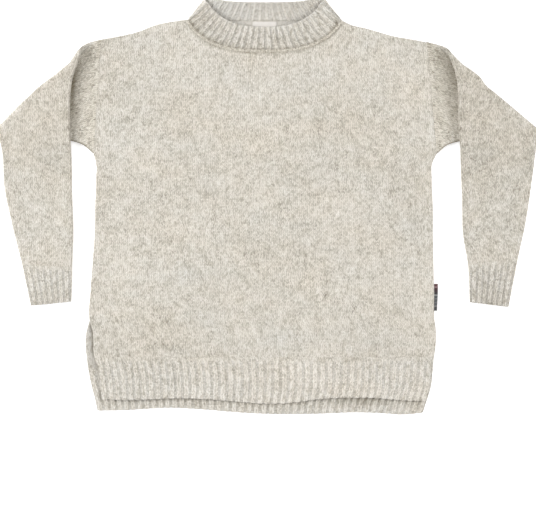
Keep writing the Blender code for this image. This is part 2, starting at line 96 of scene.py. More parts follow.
table_mesh = bpy.data.meshes.new("table_top")
table_mesh.from_pydata([(x * TABLE_HALF, y * TABLE_HALF, TABLE_Z)
                        for x, y in ((-1, -1), (1, -1), (1, 1), (-1, 1))], [], [(0, 1, 2, 3)])
table_top = placed("table_top", table_mesh)
table_top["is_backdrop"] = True
white_paint, _, _ = new_material("white_paint", {
    "Base Color": (0.93, 0.93, 0.93, 1), "Roughness": 0.8, "Specular IOR Level": 0.2,
    "Emission Color": (1, 1, 1, 1), "Emission Strength": 0.36})
table_mesh.materials.append(white_paint)

room = bpy.data.worlds.new("white_room")
room.use_nodes = True
room_light = room.node_tree.nodes["Background"].inputs
room_light["Color"].default_value = (1.0, 0.995, 0.985, 1)
room_light["Strength"].default_value = 0.315
bpy.context.scene.world = room

for name, place, watts in LIGHTS:
    # each is a soft square that faces the middle of the sweater
    lamp = bpy.data.lights.new(name, "AREA")
    lamp.shape = "SQUARE"
    lamp.size = LIGHT_SIZE
    lamp.energy = watts
    holder = placed(name, lamp)
    holder.location = place
    away = np.array(place) / np.linalg.norm(place)
    holder.rotation_euler = (math.acos(away[2]), 0, math.atan2(away[1], away[0]) + math.pi / 2)

camera = bpy.data.cameras.new("camera")
camera.type = "PERSP"
camera.lens = LENS
camera.sensor_width = SENSOR
camera.sensor_fit = "HORIZONTAL"
viewer = placed("camera", camera)
viewer.location = (*VIEW_CENTRE, CLOTH_HEIGHT + VIEW_WIDTH * LENS / SENSOR)
bpy.context.scene.camera = viewer
bpy.context.scene.view_settings.view_transform = "Standard"

# ---------------------------------------- front panel
# A plain knit panel in thick melange wool, cream with grey-brown flecks. It is knitted upwards
# from the hem's ribs, with straight dropped armholes and a scooped neck. Its side edges turn
# under into the side seams, and its shoulders turn over into the shoulder seams.
MM = 0.001
CENTRE_X = -5.0 * MM
WALL = 3.0 * MM
INNER = 0.4 * MM                # radius on which the inner face turns at a seam
OUTER = INNER + WALL            # and the outer face
MID = OUTER                     # height of the plane between front and back
SEAM_GAP = 0.3 * MM
WALE = 3.5 * MM                 # width of one column of stitches
COURSE = 2.6 * MM               # height of one row of stitches
WALE_DEPTH = 0.55 * MM

BODY_EDGES = np.array((
    # height, right front, right back, left front, left back
    (-362, 281.0, 292.0, 276.0, 277.0),
    (-337, 285.0, 297.0, 283.5, 285.0),
    (-317, 286.5, 302.5, 289.5, 291.0),
    (-284, 291.0, 309.0, 293.0, 295.0),
    (-252, 299.5, 313.0, 298.0, 297.5),
    (-232, 299.0, 314.0, 300.0, 298.5),
    (-218, 300.5, 312.0, 300.0, 298.0),
    (-198, 306.5, 306.5, 297.5, 297.5),
    (-149, 305.0, 305.0, 297.0, 297.0),
    (-107, 302.0, 302.0, 296.0, 296.0),
    (-51, 298.0, 298.0, 295.0, 295.0),
    (-9, 297.0, 297.0, 295.0, 295.0),
    (47, 295.0, 295.0, 293.0, 293.0),
    (76, 295.0, 295.0, 293.5, 293.5),
    (93, 299.0, 299.0, 301.5, 301.5))) * MM
SLIT_TOP = -198 * MM
UNDERARM = 93 * MM
SHOULDER_END = 290 * MM
ARMHOLE_TOP = {-1: 286 * MM, 1: 284 * MM}
EDGE_BLEND = 14 * MM
SHOULDERS = np.array((
    # across, height
    (-316, 284), (-286, 293), (-258, 298), (-223, 306), (-188, 319), (-150, 326), (-134, 328),
    (135, 327), (148, 320), (176, 313), (225, 299), (270, 291), (284, 288), (316, 278))) * MM
NECK_HALF = 134.5 * MM
NECK_Y = 327.5 * MM
FRONT_NECK_DEPTH = 54 * MM
BACK_NECK_DEPTH = 2.2 * MM
NECK_SQUARENESS = 2.9           # 2 is an oval curve, and more has a flatter middle
FRONT_BAND_TOP = -263 * MM
BODY_WALES = 168
SLIT_LIFT = {-1: 1.6 * MM, 1: 1.4 * MM}     # how far the loose edge at each slit stands up
LIFT_REACH = 13 * MM            # how far in from the edge it does so
LIFT_LENGTH = 45 * MM           # and the length, down from the slit's top, over which that grows
RIGHT_FOOT = (0.7, -282 * MM, 40 * MM)  # it lies down again there: share, from where, and length
SEAM_MARGIN = 40 * MM           # the front rises less within this distance of its seams
UNEVEN = 0.11 * MM              # height of the small swells in the knitting
UNEVEN_SINK = 0.2 * MM          # and how much lower than the plain surface they lie
SEAM_RIDGE = (0.4 * MM, 3.6 * MM, 1.5 * MM)     # beside an armhole: height, place and width
NECK_SHADOW = (0.36, 4.6 * MM, 2.2 * MM)        # painted shade below the collar: how dark, place and width
SEAM_SHADOW = (0.16, 1.3 * MM)                  # painted shade in the armhole seam: how dark, and width
CUT_ROUND = 1.3 * MM            # how far a wall rounds in to a free edge
SEAM_ROUND = 0.15 * MM          # and to an edge that is sewn to the next piece

SOFT_RISES = np.array((
    # across, height, half length, half width, rise, turn in degrees
    (-150, 150, 120, 45, 1.6, 60),
    (60, 90, 150, 60, 1.4, 100),
    (190, -40, 130, 40, 1.7, 80),
    (-90, -120, 140, 50, 1.5, 95),
    (120, -190, 90, 40, 1.3, 20),
    (-220, -60, 110, 28, 1.5, 84),
    (0, 215, 130, 22, 1.2, 4),
    (215, 190, 80, 30, 1.6, 125)))
SOFT_DENTS = np.array((
    # across, height, half length, half width, depth, turn in degrees
    (-262, 40, 60, 9, 0.5, 78),
    (262, 20, 70, 10, 0.5, 101),
    (-236, -176, 46, 9, 0.6, 48),
    (249, -205, 40, 8, 0.5, 132),
    (-196, 236, 52, 10, 0.5, 24),
    (204, 228, 50, 10, 0.5, 156),
    (-60, 240, 40, 9, 0.4, 150),
    (84, 236, 38, 9, 0.4, 28),
    (20, -60, 70, 14, 0.3, 88),
    (-120, 20, 80, 13, 0.3, 94)))


def smooth(fraction):
    """Goes from 0 to 1 with level ends."""
    f = np.clip(fraction, 0.0, 1.0)
    return f * f * (3 - 2 * f)


def bell(distance, width):
    """1 at no distance, and hardly anything beyond twice the width."""
    return np.exp(-(distance / width) ** 2)


def unit(vectors):
    return vectors / np.linalg.norm(vectors, axis=-1, keepdims=True)


def part_way(share, start, end):
    return start + share * (end - start)


def stacked(*parts):
    """Points, from their separate coordinates."""
    return np.stack(parts, axis=-1)


def lengths_along(points):
    """How far along a line each of its points is."""
    return np.concatenate(((0,), np.cumsum(np.linalg.norm(np.diff(points, axis=0), axis=1))))


def through(x, table, column=1):
    """A smooth curve through the points of a short table."""
    xs, ys = table[:, 0], table[:, column]
    x = np.clip(x, xs[0], xs[-1])
    slopes = np.gradient(ys, xs)
    i = np.clip(np.searchsorted(xs, x) - 1, 0, len(xs) - 2)
    width = xs[i + 1] - xs[i]
    f = (x - xs[i]) / width
    return (ys[i] * (1 + 2 * f) * (1 - f) ** 2 + ys[i + 1] * f * f * (3 - 2 * f)
            + width * f * (1 - f) * (slopes[i] * (1 - f) - slopes[i + 1] * f))


def edge_x(side, layer, y):
    """Place of the body's edge: side -1 right or 1 left, layer 1 front or -1 back."""
    column = (1 if side < 0 else 3) + (0 if layer > 0 else 1)
    below = through(y, BODY_EDGES, column)
    start = BODY_EDGES[-1, column]
    share = (y - UNDERARM) / (SHOULDER_END - UNDERARM)
    return side * np.where(y > UNDERARM, part_way(share, start, ARMHOLE_TOP[side]), below)


def side_turn(y):
    """1 where a side seam closes the edge, 0 at the armhole and at the slit."""
    return smooth((UNDERARM - y) / EDGE_BLEND) * smooth((y - SLIT_TOP) / EDGE_BLEND)


def neck_curve(x, half, corner_y, depth, squareness):
    share = np.clip(np.abs(x) / half, 0.0, 1.0) ** squareness
    return corner_y - depth * (1 - share) ** 0.75


def top_y(x, layer):
    """The body's upper edge: the shoulders, and the neckline between them."""
    depth = FRONT_NECK_DEPTH if layer > 0 else BACK_NECK_DEPTH
    neckline = neck_curve(x, NECK_HALF, NECK_Y, depth, NECK_SQUARENESS)
    return np.where(np.abs(x) < NECK_HALF, neckline, through(x, SHOULDERS))


def to_sides(x, y):
    """How far it is to the front's nearer side edge."""
    return np.minimum(edge_x(1, 1, y) - x, x - edge_x(-1, 1, y))


def mounds(x, y, table):
    """Long soft humps at the places in a table."""
    rise = 0.0
    for across, height, half_length, half_width, peak, turn in table:
        c, s = math.cos(math.radians(turn)), math.sin(math.radians(turn))
        along = ((x / MM - across) * c + (y / MM - height) * s) / half_length
        aside = ((y / MM - height) * c - (x / MM - across) * s) / half_width
        rise = rise + peak * MM * np.exp(-along ** 2 - aside ** 2)
    return rise


def front_rise(x, y):
    """How far the front rises off the back. It lies down towards its seams, and its loose edges
    at the slits stand up a little."""
    room = np.minimum(to_sides(x, y), top_y(x, 1) - y)
    loose = smooth((SLIT_TOP - 6 * MM - y) / LIFT_LENGTH)
    lift = sum(SLIT_LIFT[side] * bell(side * (edge_x(side, 1, y) - x), LIFT_REACH) for side in (1, -1))
    share, start, length = RIGHT_FOOT
    lift = lift * (1 - share * smooth((start - y) / length) * (x < 0))
    return mounds(x, y, SOFT_RISES) * smooth(room / SEAM_MARGIN) + lift * loose


def uneven(x, y):
    """Small dips where the knitting is looser, a few stitches across."""
    a, b = x / MM, y / MM
    small = np.sin(a / 5.3 + 1.7 * np.sin(b / 19)) * np.sin(b / 7.1 + np.sin(a / 23))
    large = np.sin(a / 11.7 - b / 17.3 + 2.0) * np.sin(b / 13.1 + a / 31)
    return UNEVEN * (small + large) - UNEVEN_SINK


def join_edges(first, second, first_at, second_at):
    """Triangles between two rows of corners, whatever the number of corners in each."""
    faces = []
    i = j = 0
    while i < len(first) - 1 or j < len(second) - 1:
        at_first = first_at[i + 1] if i < len(first) - 1 else math.inf
        at_second = second_at[j + 1] if j < len(second) - 1 else math.inf
        if at_first <= at_second:
            faces.append((first[i], first[i + 1], second[j]))
            i += 1
        else:
            faces.append((first[i], second[j + 1], second[j]))
            j += 1
    return faces


def share_along(points):
    """How far along a row each of its corners is, from 0 to 1."""
    steps = np.linalg.norm(np.diff(points, axis=0), axis=1)
    return np.concatenate(((0,), np.cumsum(steps))) / steps.sum()


def with_growth(stitches, painted_shade):
    """Adds how far the ribs have grown, which is 1 unless the piece says otherwise, and the painted
    shade: how much light is painted off the colour, in creases and under parts that stand over it."""
    grown = np.ones(stitches.shape[:-1] + (3 - stitches.shape[-1],))
    return np.concatenate((stitches, grown, painted_shade[..., None]), axis=-1)


def sewn_piece(name, mesh, materials, sharp_angle):
    """Turns a mesh's faces outwards and makes it a piece of the sweater."""
    for material in materials:
        mesh.materials.append(material)
    turning = bmesh.new()
    turning.from_mesh(mesh)
    bmesh.ops.recalc_face_normals(turning, faces=turning.faces)
    turning.to_mesh(mesh)
    turning.free()
    mesh.shade_smooth()
    mesh.set_sharp_from_angle(angle=math.radians(sharp_angle))
    piece = placed(name, mesh)
    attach(piece, "root")
    return piece


def knit_wall(name, sides, finishes, ring=False, loop=False):
    """One piece of knitting, from the grids of its outer and inner sides.

    Each side has its points and its stitch counts, and in a ring the counts of the closing column,
    which is the first one again. Where some columns run out before the far edge, same says which
    column stands in for each. A loop is one grid that goes down again on its inner side. Each
    side has its own finish, and its rows may have others.
    """
    points, corners, counts, faces, borders, finish = [], [], [], [], [], []
    first_point = first_corner = 0
    for number, side in enumerate(sides):
        grid = side["points"]
        painted_shade = side.get("painted_shade", np.zeros(grid.shape[:2]))
        stitches = with_growth(side["stitches"], painted_shade)
        ids = first_point + np.arange(grid.shape[0] * grid.shape[1]).reshape(grid.shape[:2])
        first_point += ids.size
        if "same" in side:
            ids = np.take_along_axis(ids, side["same"], axis=1)
        points.append(grid.reshape(-1, 3))
        if ring:
            grid = np.concatenate((grid, grid[:, :1]), axis=1)
            ids = np.hstack((ids, ids[:, :1]))
            closing = with_growth(side["closing"], painted_shade[:, 0])
            stitches = np.concatenate((stitches, closing[:, None]), axis=1)
        if loop:
            ids = np.vstack((ids, ids[:1]))
            stitches = np.concatenate((stitches, stitches[:1]))
        corner = first_corner + np.arange(ids.size).reshape(ids.shape)
        first_corner += ids.size
        corners.append(ids.ravel())
        counts.append(stitches.reshape(-1, 4))
        faces += stacked(corner[:-1, :-1], corner[:-1, 1:], corner[1:, 1:],
                         corner[1:, :-1]).reshape(-1, 4).tolist()
        of_rows = side.get("finish", [number] * (len(corner) - 1))
        finish += np.repeat(of_rows, corner.shape[1] - 1).tolist()
        if not loop:
            edges = [(corner[k], share_along(grid[k])) for k in (0, -1)]
            if not ring:
                edges += [(corner[:, k], share_along(grid[:, k])) for k in (0, -1)]
            borders.append(edges)
    for (first, first_at), (second, second_at) in zip(*borders) if not loop else ():
        faces += join_edges(first.tolist(), second.tolist(), first_at, second_at)
    finish += [0] * (len(faces) - len(finish))
    corners, counts, points = (np.concatenate(a) for a in (corners, counts, points))
    used, new_ids = np.unique(corners, return_inverse=True)
    points = points[used] + (CENTRE_X, 0, 0)
    new_ids = new_ids.tolist()
    kept, kept_corners, kept_finish = [], [], []
    for face, number in zip(faces, finish):
        ids, own = [], []
        for corner in face:
            if new_ids[corner] not in ids:
                ids.append(new_ids[corner])
                own.append(corner)
        if len(ids) > 2:
            kept.append(ids)
            kept_corners += own
            kept_finish.append(number)
    mesh = bpy.data.meshes.new(name)
    mesh.from_pydata(points.tolist(), [], kept)
    # the second map holds how far the ribs have grown and the painted shade
    for layer_name, columns in (("stitches", (0, 1)), ("ribs_and_painted_shade", (2, 3))):
        mesh.uv_layers.new(name=layer_name).data.foreach_set(
            "uv", counts[kept_corners][:, columns].astype(np.float32).ravel())
    mesh.polygons.foreach_set("material_index", kept_finish)
    return sewn_piece(name, mesh, finishes, 75)


def wire(tree, kind, *inputs, **settings):
    """Adds a node, sets it up, and joins or sets its inputs in their order."""
    added = tree.nodes.new("ShaderNode" + kind)
    for key, value in settings.items():
        setattr(added, key, value)
    for socket, value in zip(added.inputs, inputs):
        if isinstance(value, bpy.types.NodeSocket):
            tree.links.new(value, socket)
        elif value is not None:
            socket.default_value = value
    return added.outputs[0]


def noise(tree, at, scale, detail, roughness=None, space="2D"):
    return wire(tree, "TexNoise", at, None, scale, detail, roughness, noise_dimensions=space)


def sums(tree, operation, *inputs):
    return wire(tree, "Math", *inputs, operation=operation)


def times(tree, first, second):
    return sums(tree, "MULTIPLY", first, second)


def plus_times(tree, value, by, added):
    """One value times the second, plus the third."""
    return sums(tree, "MULTIPLY_ADD", value, by, added)


def wave(tree, value):
    """Half a sine wave for each whole number, always upwards."""
    return sums(tree, "ABSOLUTE", sums(tree, "SINE", times(tree, value, math.pi)))


def between(tree, value, low, high, to_low=0.0, to_high=1.0):
    return wire(tree, "MapRange", value, low, high, to_low, to_high, interpolation_type="SMOOTHSTEP")


def separate(tree, vector):
    split = tree.nodes.new("ShaderNodeSeparateXYZ")
    tree.links.new(vector, split.inputs[0])
    return split.outputs


def blend(tree, share, first, second, how="MIX"):
    """Two colours, mixed or multiplied."""
    mix = tree.nodes.new("ShaderNodeMix")
    mix.data_type = "RGBA"
    mix.blend_type = how
    for number, value in ((0, share), (6, first), (7, second)):
        if isinstance(value, bpy.types.NodeSocket):
            tree.links.new(value, mix.inputs[number])
        else:
            mix.inputs[number].default_value = value
    return mix.outputs[2]


def shades(tree, value, stops, interpolation="LINEAR"):
    """The colours of a table of places from 0 to 1."""
    ramp = tree.nodes.new("ShaderNodeValToRGB")
    ramp.color_ramp.interpolation = interpolation
    while len(ramp.color_ramp.elements) < len(stops):
        ramp.color_ramp.elements.new(0.5)
    for element, (place, colour) in zip(ramp.color_ramp.elements, stops):
        element.position = place
        element.color = (*colour, 1)
    tree.links.new(value, ramp.inputs[0])
    return ramp.outputs[0]


def dress(tree, shader, colour, height, strength, distance):
    """Gives a shader its colour and its raised detail."""
    tree.links.new(colour, shader.inputs["Base Color"])
    bump = tree.nodes.new("ShaderNodeBump")
    bump.inputs["Strength"].default_value = strength
    bump.inputs["Distance"].default_value = distance
    tree.links.new(height, bump.inputs["Height"])
    tree.links.new(bump.outputs[0], shader.inputs["Normal"])


WOOL = {"Roughness": 0.95, "Specular IOR Level": 0.12, "Sheen Weight": 0.2}
YARN_COLOURS = (
    # place among the shades of the yarn, and its colour
    (0.00, (0.13, 0.105, 0.08)), (0.22, (0.32, 0.28, 0.225)), (0.45, (0.56, 0.52, 0.44)),
    (0.62, (0.72, 0.676, 0.60)), (0.80, (0.82, 0.78, 0.71)), (1.00, (0.92, 0.89, 0.825)))
MIDDLE_SHADE = 0.61             # the yarn's usual place among them
COOL = (0.972, 1.0, 1.032)
WARM = (1.03, 1.0, 0.965)
PAINTED_SHADE_COLOUR = (0.14, 0.095, 0.0)   # painted shade: the colour of the light that is left deep in creases
LEG_SLANT = 1.7                 # rows that a leg of a plain stitch climbs to each wale
GROOVE_SINK = {"purl": 0.25, "ribbed": 0.48}    # how much lower purl stitches lie, which also deepens their painted shade


def melange_wool(name, knit="plain", shade=0.0, painted_light=None, flecks=1.0, tints=(COOL, WARM)):
    """Thick woollen yarn, knitted plain, purl or ribbed. The stitch counts of a piece place its
    stitches: two slanting legs to a plain stitch, and a lying loop to a purl one, as in a rib's
    grooves. Pale and dark fibres are spun together, so each leg has a shade of its own.
    painted_light is the rows between which painted light makes the yarn lighter, and how much,
    and flecks is how strong its shades are beside the plain knitting's. The colour also takes
    painted shade: darker between the stitches, and darker and warmer where a piece's painted
    shade says."""
    material, tree, shader = new_material(name, {**WOOL, "Sheen Roughness": 0.6})
    counts = wire(tree, "UVMap", uv_map="stitches")
    u, row, _ = separate(tree, counts)
    grown, painted_shade, _ = separate(tree, wire(tree, "UVMap", uv_map="ribs_and_painted_shade"))
    # a wobble, so that no column or row is quite straight
    wobble = noise(tree, counts, 0.3, 1.0)
    u = plus_times(tree, sums(tree, "SUBTRACT", wobble, 0.5), 0.45, u)
    v = plus_times(tree, sums(tree, "SUBTRACT", wobble, 0.5), -0.9, row)
    wale = sums(tree, "FLOOR", u)
    in_wale = sums(tree, "SUBTRACT", sums(tree, "FRACT", u), 0.5)
    aside = sums(tree, "ABSOLUTE", in_wale)
    # plain stitches
    leg = plus_times(tree, aside, -LEG_SLANT, v)
    leg_row = sums(tree, "FLOOR", leg)
    leg_id = plus_times(tree, sums(tree, "GREATER_THAN", in_wale, 0.0), 0.5, wale)
    leg_round = sums(tree, "SINE", times(tree, sums(tree, "FRACT", leg), math.pi))
    leg_round = sums(tree, "POWER", sums(tree, "MAXIMUM", leg_round, 0.0), 0.5)
    crown = between(tree, aside, 0.34, 0.5, 1.0, 0.2)
    cleft = between(tree, aside, 0.0, 0.13, 0.55, 1.0)
    height = times(tree, times(tree, leg_round, crown), cleft)
    twist = plus_times(tree, leg, 5.5, times(tree, aside, 9.0))
    strand = wire(tree, "CombineXYZ", twist, plus_times(tree, leg_id, 3.7, aside), 0.0)
    fibres = noise(tree, strand, 1.6, 2.0, 0.6)
    if knit != "plain":
        # purl stitches: rows of arcs, set half a stitch aside in every other row
        rows = times(tree, v, 2.0 if knit == "purl" else 1.0)
        every_other = sums(tree, "MODULO", sums(tree, "FLOOR", rows), 2.0)
        arc = wave(tree, plus_times(tree, every_other, 0.5, u))
        bowed = plus_times(tree, arc, 0.45, rows)
        purl_height = times(tree, sums(tree, "POWER", wave(tree, bowed), 0.6),
                            between(tree, arc, 0.0, 0.7, 0.35, 1.0))
        purl_height = plus_times(tree, purl_height, 1.45, -GROOVE_SINK[knit])
        strand = wire(tree, "CombineXYZ", times(tree, u, 1.4), times(tree, bowed, 4.0), 0.0)
        purl_fibres = noise(tree, strand, 1.6, 2.0, 0.6)
        is_purl = 1.0
        if knit == "ribbed":
            in_rib = sums(tree, "FRACT", sums(tree, "DIVIDE", u, 4.0))
            from_middle = sums(tree, "ABSOLUTE", sums(tree, "SUBTRACT", in_rib, 0.5))
            is_purl = between(tree, from_middle, 0.235, 0.265)
            is_purl = times(tree, is_purl, between(tree, grown, 0.25, 0.75))
        height = wire(tree, "Mix", is_purl, None, height, purl_height)
        fibres = wire(tree, "Mix", is_purl, None, fibres, purl_fibres)
    # the shade of the yarn: from leg to leg, in small clumps, in wide patches and fibre by fibre
    cell = wire(tree, "CombineXYZ", leg_id, leg_row, 0.0)
    clump_at = wire(tree, "Mapping", counts, (0, 0, 0), (0, 0, 0), (1.0, 0.66, 1))
    patch_at = wire(tree, "Mapping", counts, (31, 7, 0), (0, 0, 0), (1.0, 0.7, 1))
    tone = MIDDLE_SHADE + shade
    if knit == "ribbed":
        tone = plus_times(tree, grown, shade, MIDDLE_SHADE)
    if painted_light:
        first, last, amount = painted_light
        tone = sums(tree, "ADD", wire(tree, "MapRange", row, first, last, 0.0, amount), tone)
    for part, weight in (
            (wire(tree, "TexWhiteNoise", cell, noise_dimensions="3D"), 0.39 * flecks),
            (noise(tree, clump_at, 0.5, 2.0, 0.8), 0.42 * flecks),
            (noise(tree, patch_at, 0.18, 1.0, 0.8), 0.33),
            (noise(tree, patch_at, 0.022, 1.0, 0.6), 0.15),
            (fibres, 0.46 * flecks)):
        tone = plus_times(tree, sums(tree, "SUBTRACT", part, 0.5), weight, tone)
    # faint tints, warmer and cooler, wider than a hand
    tint = blend(tree, noise(tree, counts, 0.03, 2.0, 0.7), (*tints[0], 1), (*tints[1], 1))
    colour = blend(tree, 1.0, shades(tree, tone, YARN_COLOURS), tint, "MULTIPLY")
    # painted shade: the colour is darker between the stitches, and darker and warmer where the piece's
    # painted shade says
    light = blend(tree, painted_shade, (1, 1, 1, 1), (*PAINTED_SHADE_COLOUR, 1))
    colour = blend(tree, 1.0, colour, light, "MULTIPLY")
    colour = blend(tree, 1.0, colour, plus_times(tree, height, 0.52, 0.63), "MULTIPLY")
    dress(tree, shader, colour, plus_times(tree, fibres, 0.5, height), 0.8, 0.9 * MM)
    return material


def wale_groove(count):
    """How deep a column of corners lies: 1 between two wales and 0 on the middle of one."""
    return 0.5 + 0.5 * np.cos(2 * math.pi * np.asarray(count, float))


def panel_columns(steps, side_steps, finer=()):
    """Share of the panel's width, angle turned at its sides, and stitch count, by column."""
    angles = np.radians(np.linspace(90, 0, side_steps, endpoint=False))
    share = np.union1d(np.linspace(0, 1, steps + 1), finer)
    turned = angles * OUTER / WALE
    return (np.concatenate((angles * 0, share, angles * 0 + 1)),
            np.concatenate((angles, share * 0, angles[::-1])),
            np.concatenate((-turned, share * BODY_WALES, BODY_WALES + turned[::-1])))


def panel_rows(band_top, low_count, high_count, lean_count):
    """Height that a row starts from, its share of the way up from there, and the angle turned
    at the shoulder."""
    low = np.linspace(band_top, UNDERARM, low_count, endpoint=False)
    high = np.linspace(0, 1, high_count)
    lean = np.radians(np.linspace(0, 90, lean_count + 1)[1:])
    base = np.concatenate((low, high * 0 + UNDERARM, lean * 0 + UNDERARM))
    share = np.concatenate((low * 0, high, lean * 0 + 1))
    return base, share, np.concatenate((low * 0, high * 0, lean))


def panel_x(layer, y, share, angle, radius):
    left, right = edge_x(1, layer, y), edge_x(-1, layer, y)
    turn = side_turn(y)
    inset = OUTER - np.sin(angle) * (turn * radius + (1 - turn) * OUTER)
    plain = right + OUTER + share * (left - right - 2 * OUTER)
    return np.where(share <= 0, right + inset, np.where(share >= 1, left - inset, plain))


def under_collar(x, y):
    """Painted shade on the front: darker just below the chain that joins it to the collar, and in its
    armhole seams."""
    dark, place, width = NECK_SHADOW
    neck = dark * bell(top_y(x, 1) - y - place, width) * (np.abs(x) < NECK_HALF)
    dark, width = SEAM_SHADOW
    return neck + dark * bell(to_sides(x, y), width) * smooth((y - UNDERARM) / EDGE_BLEND)


def panel_face(layer, radius, columns, rows, rise, groove, painted_shade_at):
    """One face of the front or back. radius is how far it is from the plane between them."""
    share, angle, count = columns
    base, climb, lean = (a[:, None] for a in rows)
    y_top = np.full(len(share), NECK_Y)
    for _ in range(14):
        x = panel_x(layer, y_top, share, angle, radius)
        y_top = top_y(x, layer)
    on_shoulder = smooth((np.abs(x) - NECK_HALF) / (5 * MM))
    reach = np.sin(lean) * (on_shoulder * radius + (1 - on_shoulder) * OUTER)
    y = base + climb * (y_top - OUTER - (1 - on_shoulder) * SEAM_GAP - base) + reach
    x = panel_x(layer, y, share, angle, radius)
    turn = side_turn(y)
    fade = smooth((y_top - OUTER - y) / (4 * MM)) * (angle == 0)
    flat = radius - np.where(radius == OUTER, groove * WALE_DEPTH * wale_groove(count) * fade, 0)
    drop = (1 - turn * (1 - np.cos(angle))) * (1 - on_shoulder * (1 - np.cos(lean)))
    rounding = np.where(y > 0, SEAM_ROUND, CUT_ROUND) * (1 - turn) * (1 - np.cos(angle))
    rounding = rounding + SEAM_ROUND * (1 - on_shoulder) * (1 - np.cos(lean))
    rounding = rounding * (1 if radius == OUTER else -1)
    z = MID + layer * np.maximum(SEAM_GAP / 2, flat * drop - rounding)
    z = z + rise(x, y) * drop
    # painted shade, where the collar, the armhole seams or the front's loose edge would shade this face
    painted_shade = painted_shade_at(x, y) + 0 * x
    return {"points": stacked(x, y, z), "painted_shade": painted_shade,
            "stitches": stacked(count + 0 * y, y / COURSE)}


def front_surface(x, y):
    """The front with its dents, and with the low ridge that the armhole seams raise beside them."""
    height, place, width = SEAM_RIDGE
    ridge = height * bell(to_sides(x, y) - place, width) * smooth((y - UNDERARM) / EDGE_BLEND)
    in_panel = smooth((y - FRONT_BAND_TOP) / EDGE_BLEND)
    return front_rise(x, y) + (uneven(x, y) - mounds(x, y, SOFT_DENTS)) * in_panel + ridge


plain_knit = melange_wool("plain_knit")
# painted light: the back's purl side is lighter from row 117 up, which shows inside the neck, where it
# lies in shade
purl_knit = melange_wool("purl_knit", "purl", 0.11, painted_light=(117, 121, 0.15))
front = knit_wall("front_panel", (
    panel_face(1, OUTER, panel_columns(BODY_WALES * 4, 6), panel_rows(FRONT_BAND_TOP, 62, 40, 6),
               front_surface, 1, under_collar),
    panel_face(1, INNER, panel_columns(28, 3), panel_rows(FRONT_BAND_TOP, 16, 8, 3),
               front_rise, 0, under_collar)), (plain_knit, purl_knit))
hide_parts("front")

# ---------------------------------------- back panel
# The back is knitted as the front is, a little wider and longer and with hardly any neck scoop.
# It lies flat on the table. Its purl side shows inside the neck.
BACK_BAND_TOP = -284 * MM
SLIT_COLUMNS = np.linspace(0.003, 0.045, 15)    # finer columns beside the right slit
SLIT_SHADOW = (0.08, 0.62, 3.2 * MM)    # painted shade beside the slit: how dark, how much darker near its top, and width
SLIT_DARKENS = (-75 * MM, 40 * MM)      # where it gets darker, from its top, and over what length
SLIT_FADE = 12 * MM             # just below its top it fades out


def under_front(x, y):
    """Painted shade on the back, close beside the front's loose edge at the right slit."""
    low_dark, more, width = SLIT_SHADOW
    start, length = SLIT_DARKENS
    dark = low_dark + more * smooth((y - SLIT_TOP - start) / length)
    return dark * bell(edge_x(-1, 1, y) - x, width) * smooth((SLIT_TOP - y) / SLIT_FADE) * (x < 0)


def back_surface(x, y):
    """The back is pressed flat where it rests, apart from its own stitches."""
    return 0.0 * x


back = knit_wall("back_panel", (
    panel_face(-1, OUTER, panel_columns(BODY_WALES * 4, 6), panel_rows(BACK_BAND_TOP, 50, 30, 6),
               back_surface, 1, under_front),
    panel_face(-1, INNER, panel_columns(42, 3, SLIT_COLUMNS), panel_rows(BACK_BAND_TOP, 60, 12, 3),
               back_surface, 0, under_front)), (plain_knit, purl_knit))
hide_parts("back")

# ---------------------------------------- hem bands
# Two ribbed bands, two plain stitches and two purl ones in turn, with an open slit at each side.
# The back one is longer and shows below the front one, whose lower edge lifts a little off it.
HEM_EDGES = np.array((
    # across, front, back
    (-300, -337, -357), (-245, -338, -356), (-157, -335, -352), (-113, -335.5, -354.5),
    (-45, -341, -360), (0, -344.5, -362.5), (52, -342.5, -363), (90, -337, -362.5),
    (167, -333.8, -360), (214, -336, -362), (234, -338, -363.5), (300, -340, -358))) * MM
HEM_RIBS = 46
RIB_STEPS = 12                  # corners from one rib to the next
HEM_LIFT = 4.2 * MM             # how far the front's lower edge may stand off the back
RIB_THICK = 3.5 * MM
RIB_DEEP = 0.68 * MM            # how far the grooves go down
RIB_EDGE = 1.5 * MM             # length of the rounding at a band's free edges
HEM_SCALLOP = 0.9 * MM          # how much lower the ribs end than the grooves
HEM_SHADE = (0.12, 0.40, 7 * MM)        # painted shade below the front's edge: on ribs, more in grooves, and depth
HIGH_EDGE = (175 * MM, 38 * MM)         # where the front's edge stands highest, and how wide
HIGH_SHADE = (0.30, 7 * MM, 8 * MM)     # painted shade below it: how dark, place and width
GROOVE_HALF = 0.18              # half a groove's share of one rib and groove


def rib_height(phase):
    """0 in a groove and 1 on a rib, whose two columns of stitches have a slight cleft between."""
    f = np.asarray(phase, float) % 1.0
    ridge = smooth((0.5 - 0.5 * np.cos(2 * math.pi * f)) * 1.7)
    return ridge - 0.3 * bell(f - 0.5, 0.07)


def rib_count(phase, drawn_in=1.0):
    """Stitch count across ribs, whose grooves are drawn in so that the plain stitches spread."""
    whole, f = np.floor(phase), np.asarray(phase, float) % 1.0
    spread = np.interp(f, (0, GROOVE_HALF, 1 - GROOVE_HALF, 1), (0, 1, 3, 4))
    return 4 * whole + 4 * f + drawn_in * (spread - 4 * f)


def rounded_end(distance):
    """Share of its thickness that a wall has near a free edge."""
    f = np.clip(distance / RIB_EDGE, 0, 1)
    return np.sqrt(np.maximum(1 - (1 - f) ** 2, 0.03))


def rib_wander(x, y):
    """How far hand-laid ribs stray sideways."""
    a, b = x / MM, y / MM
    return 0.4 * MM * np.sin(a / 17 + 2.1 * np.sin(b / 21)) * np.sin(b / 13 + a / 43)


def rib_depth(phase):
    """No two ribs are quite as deep."""
    rib = np.round(phase)
    return 1 + 0.16 * np.sin(rib * 2.4) + 0.10 * np.sin(rib * 5.3 + 1)


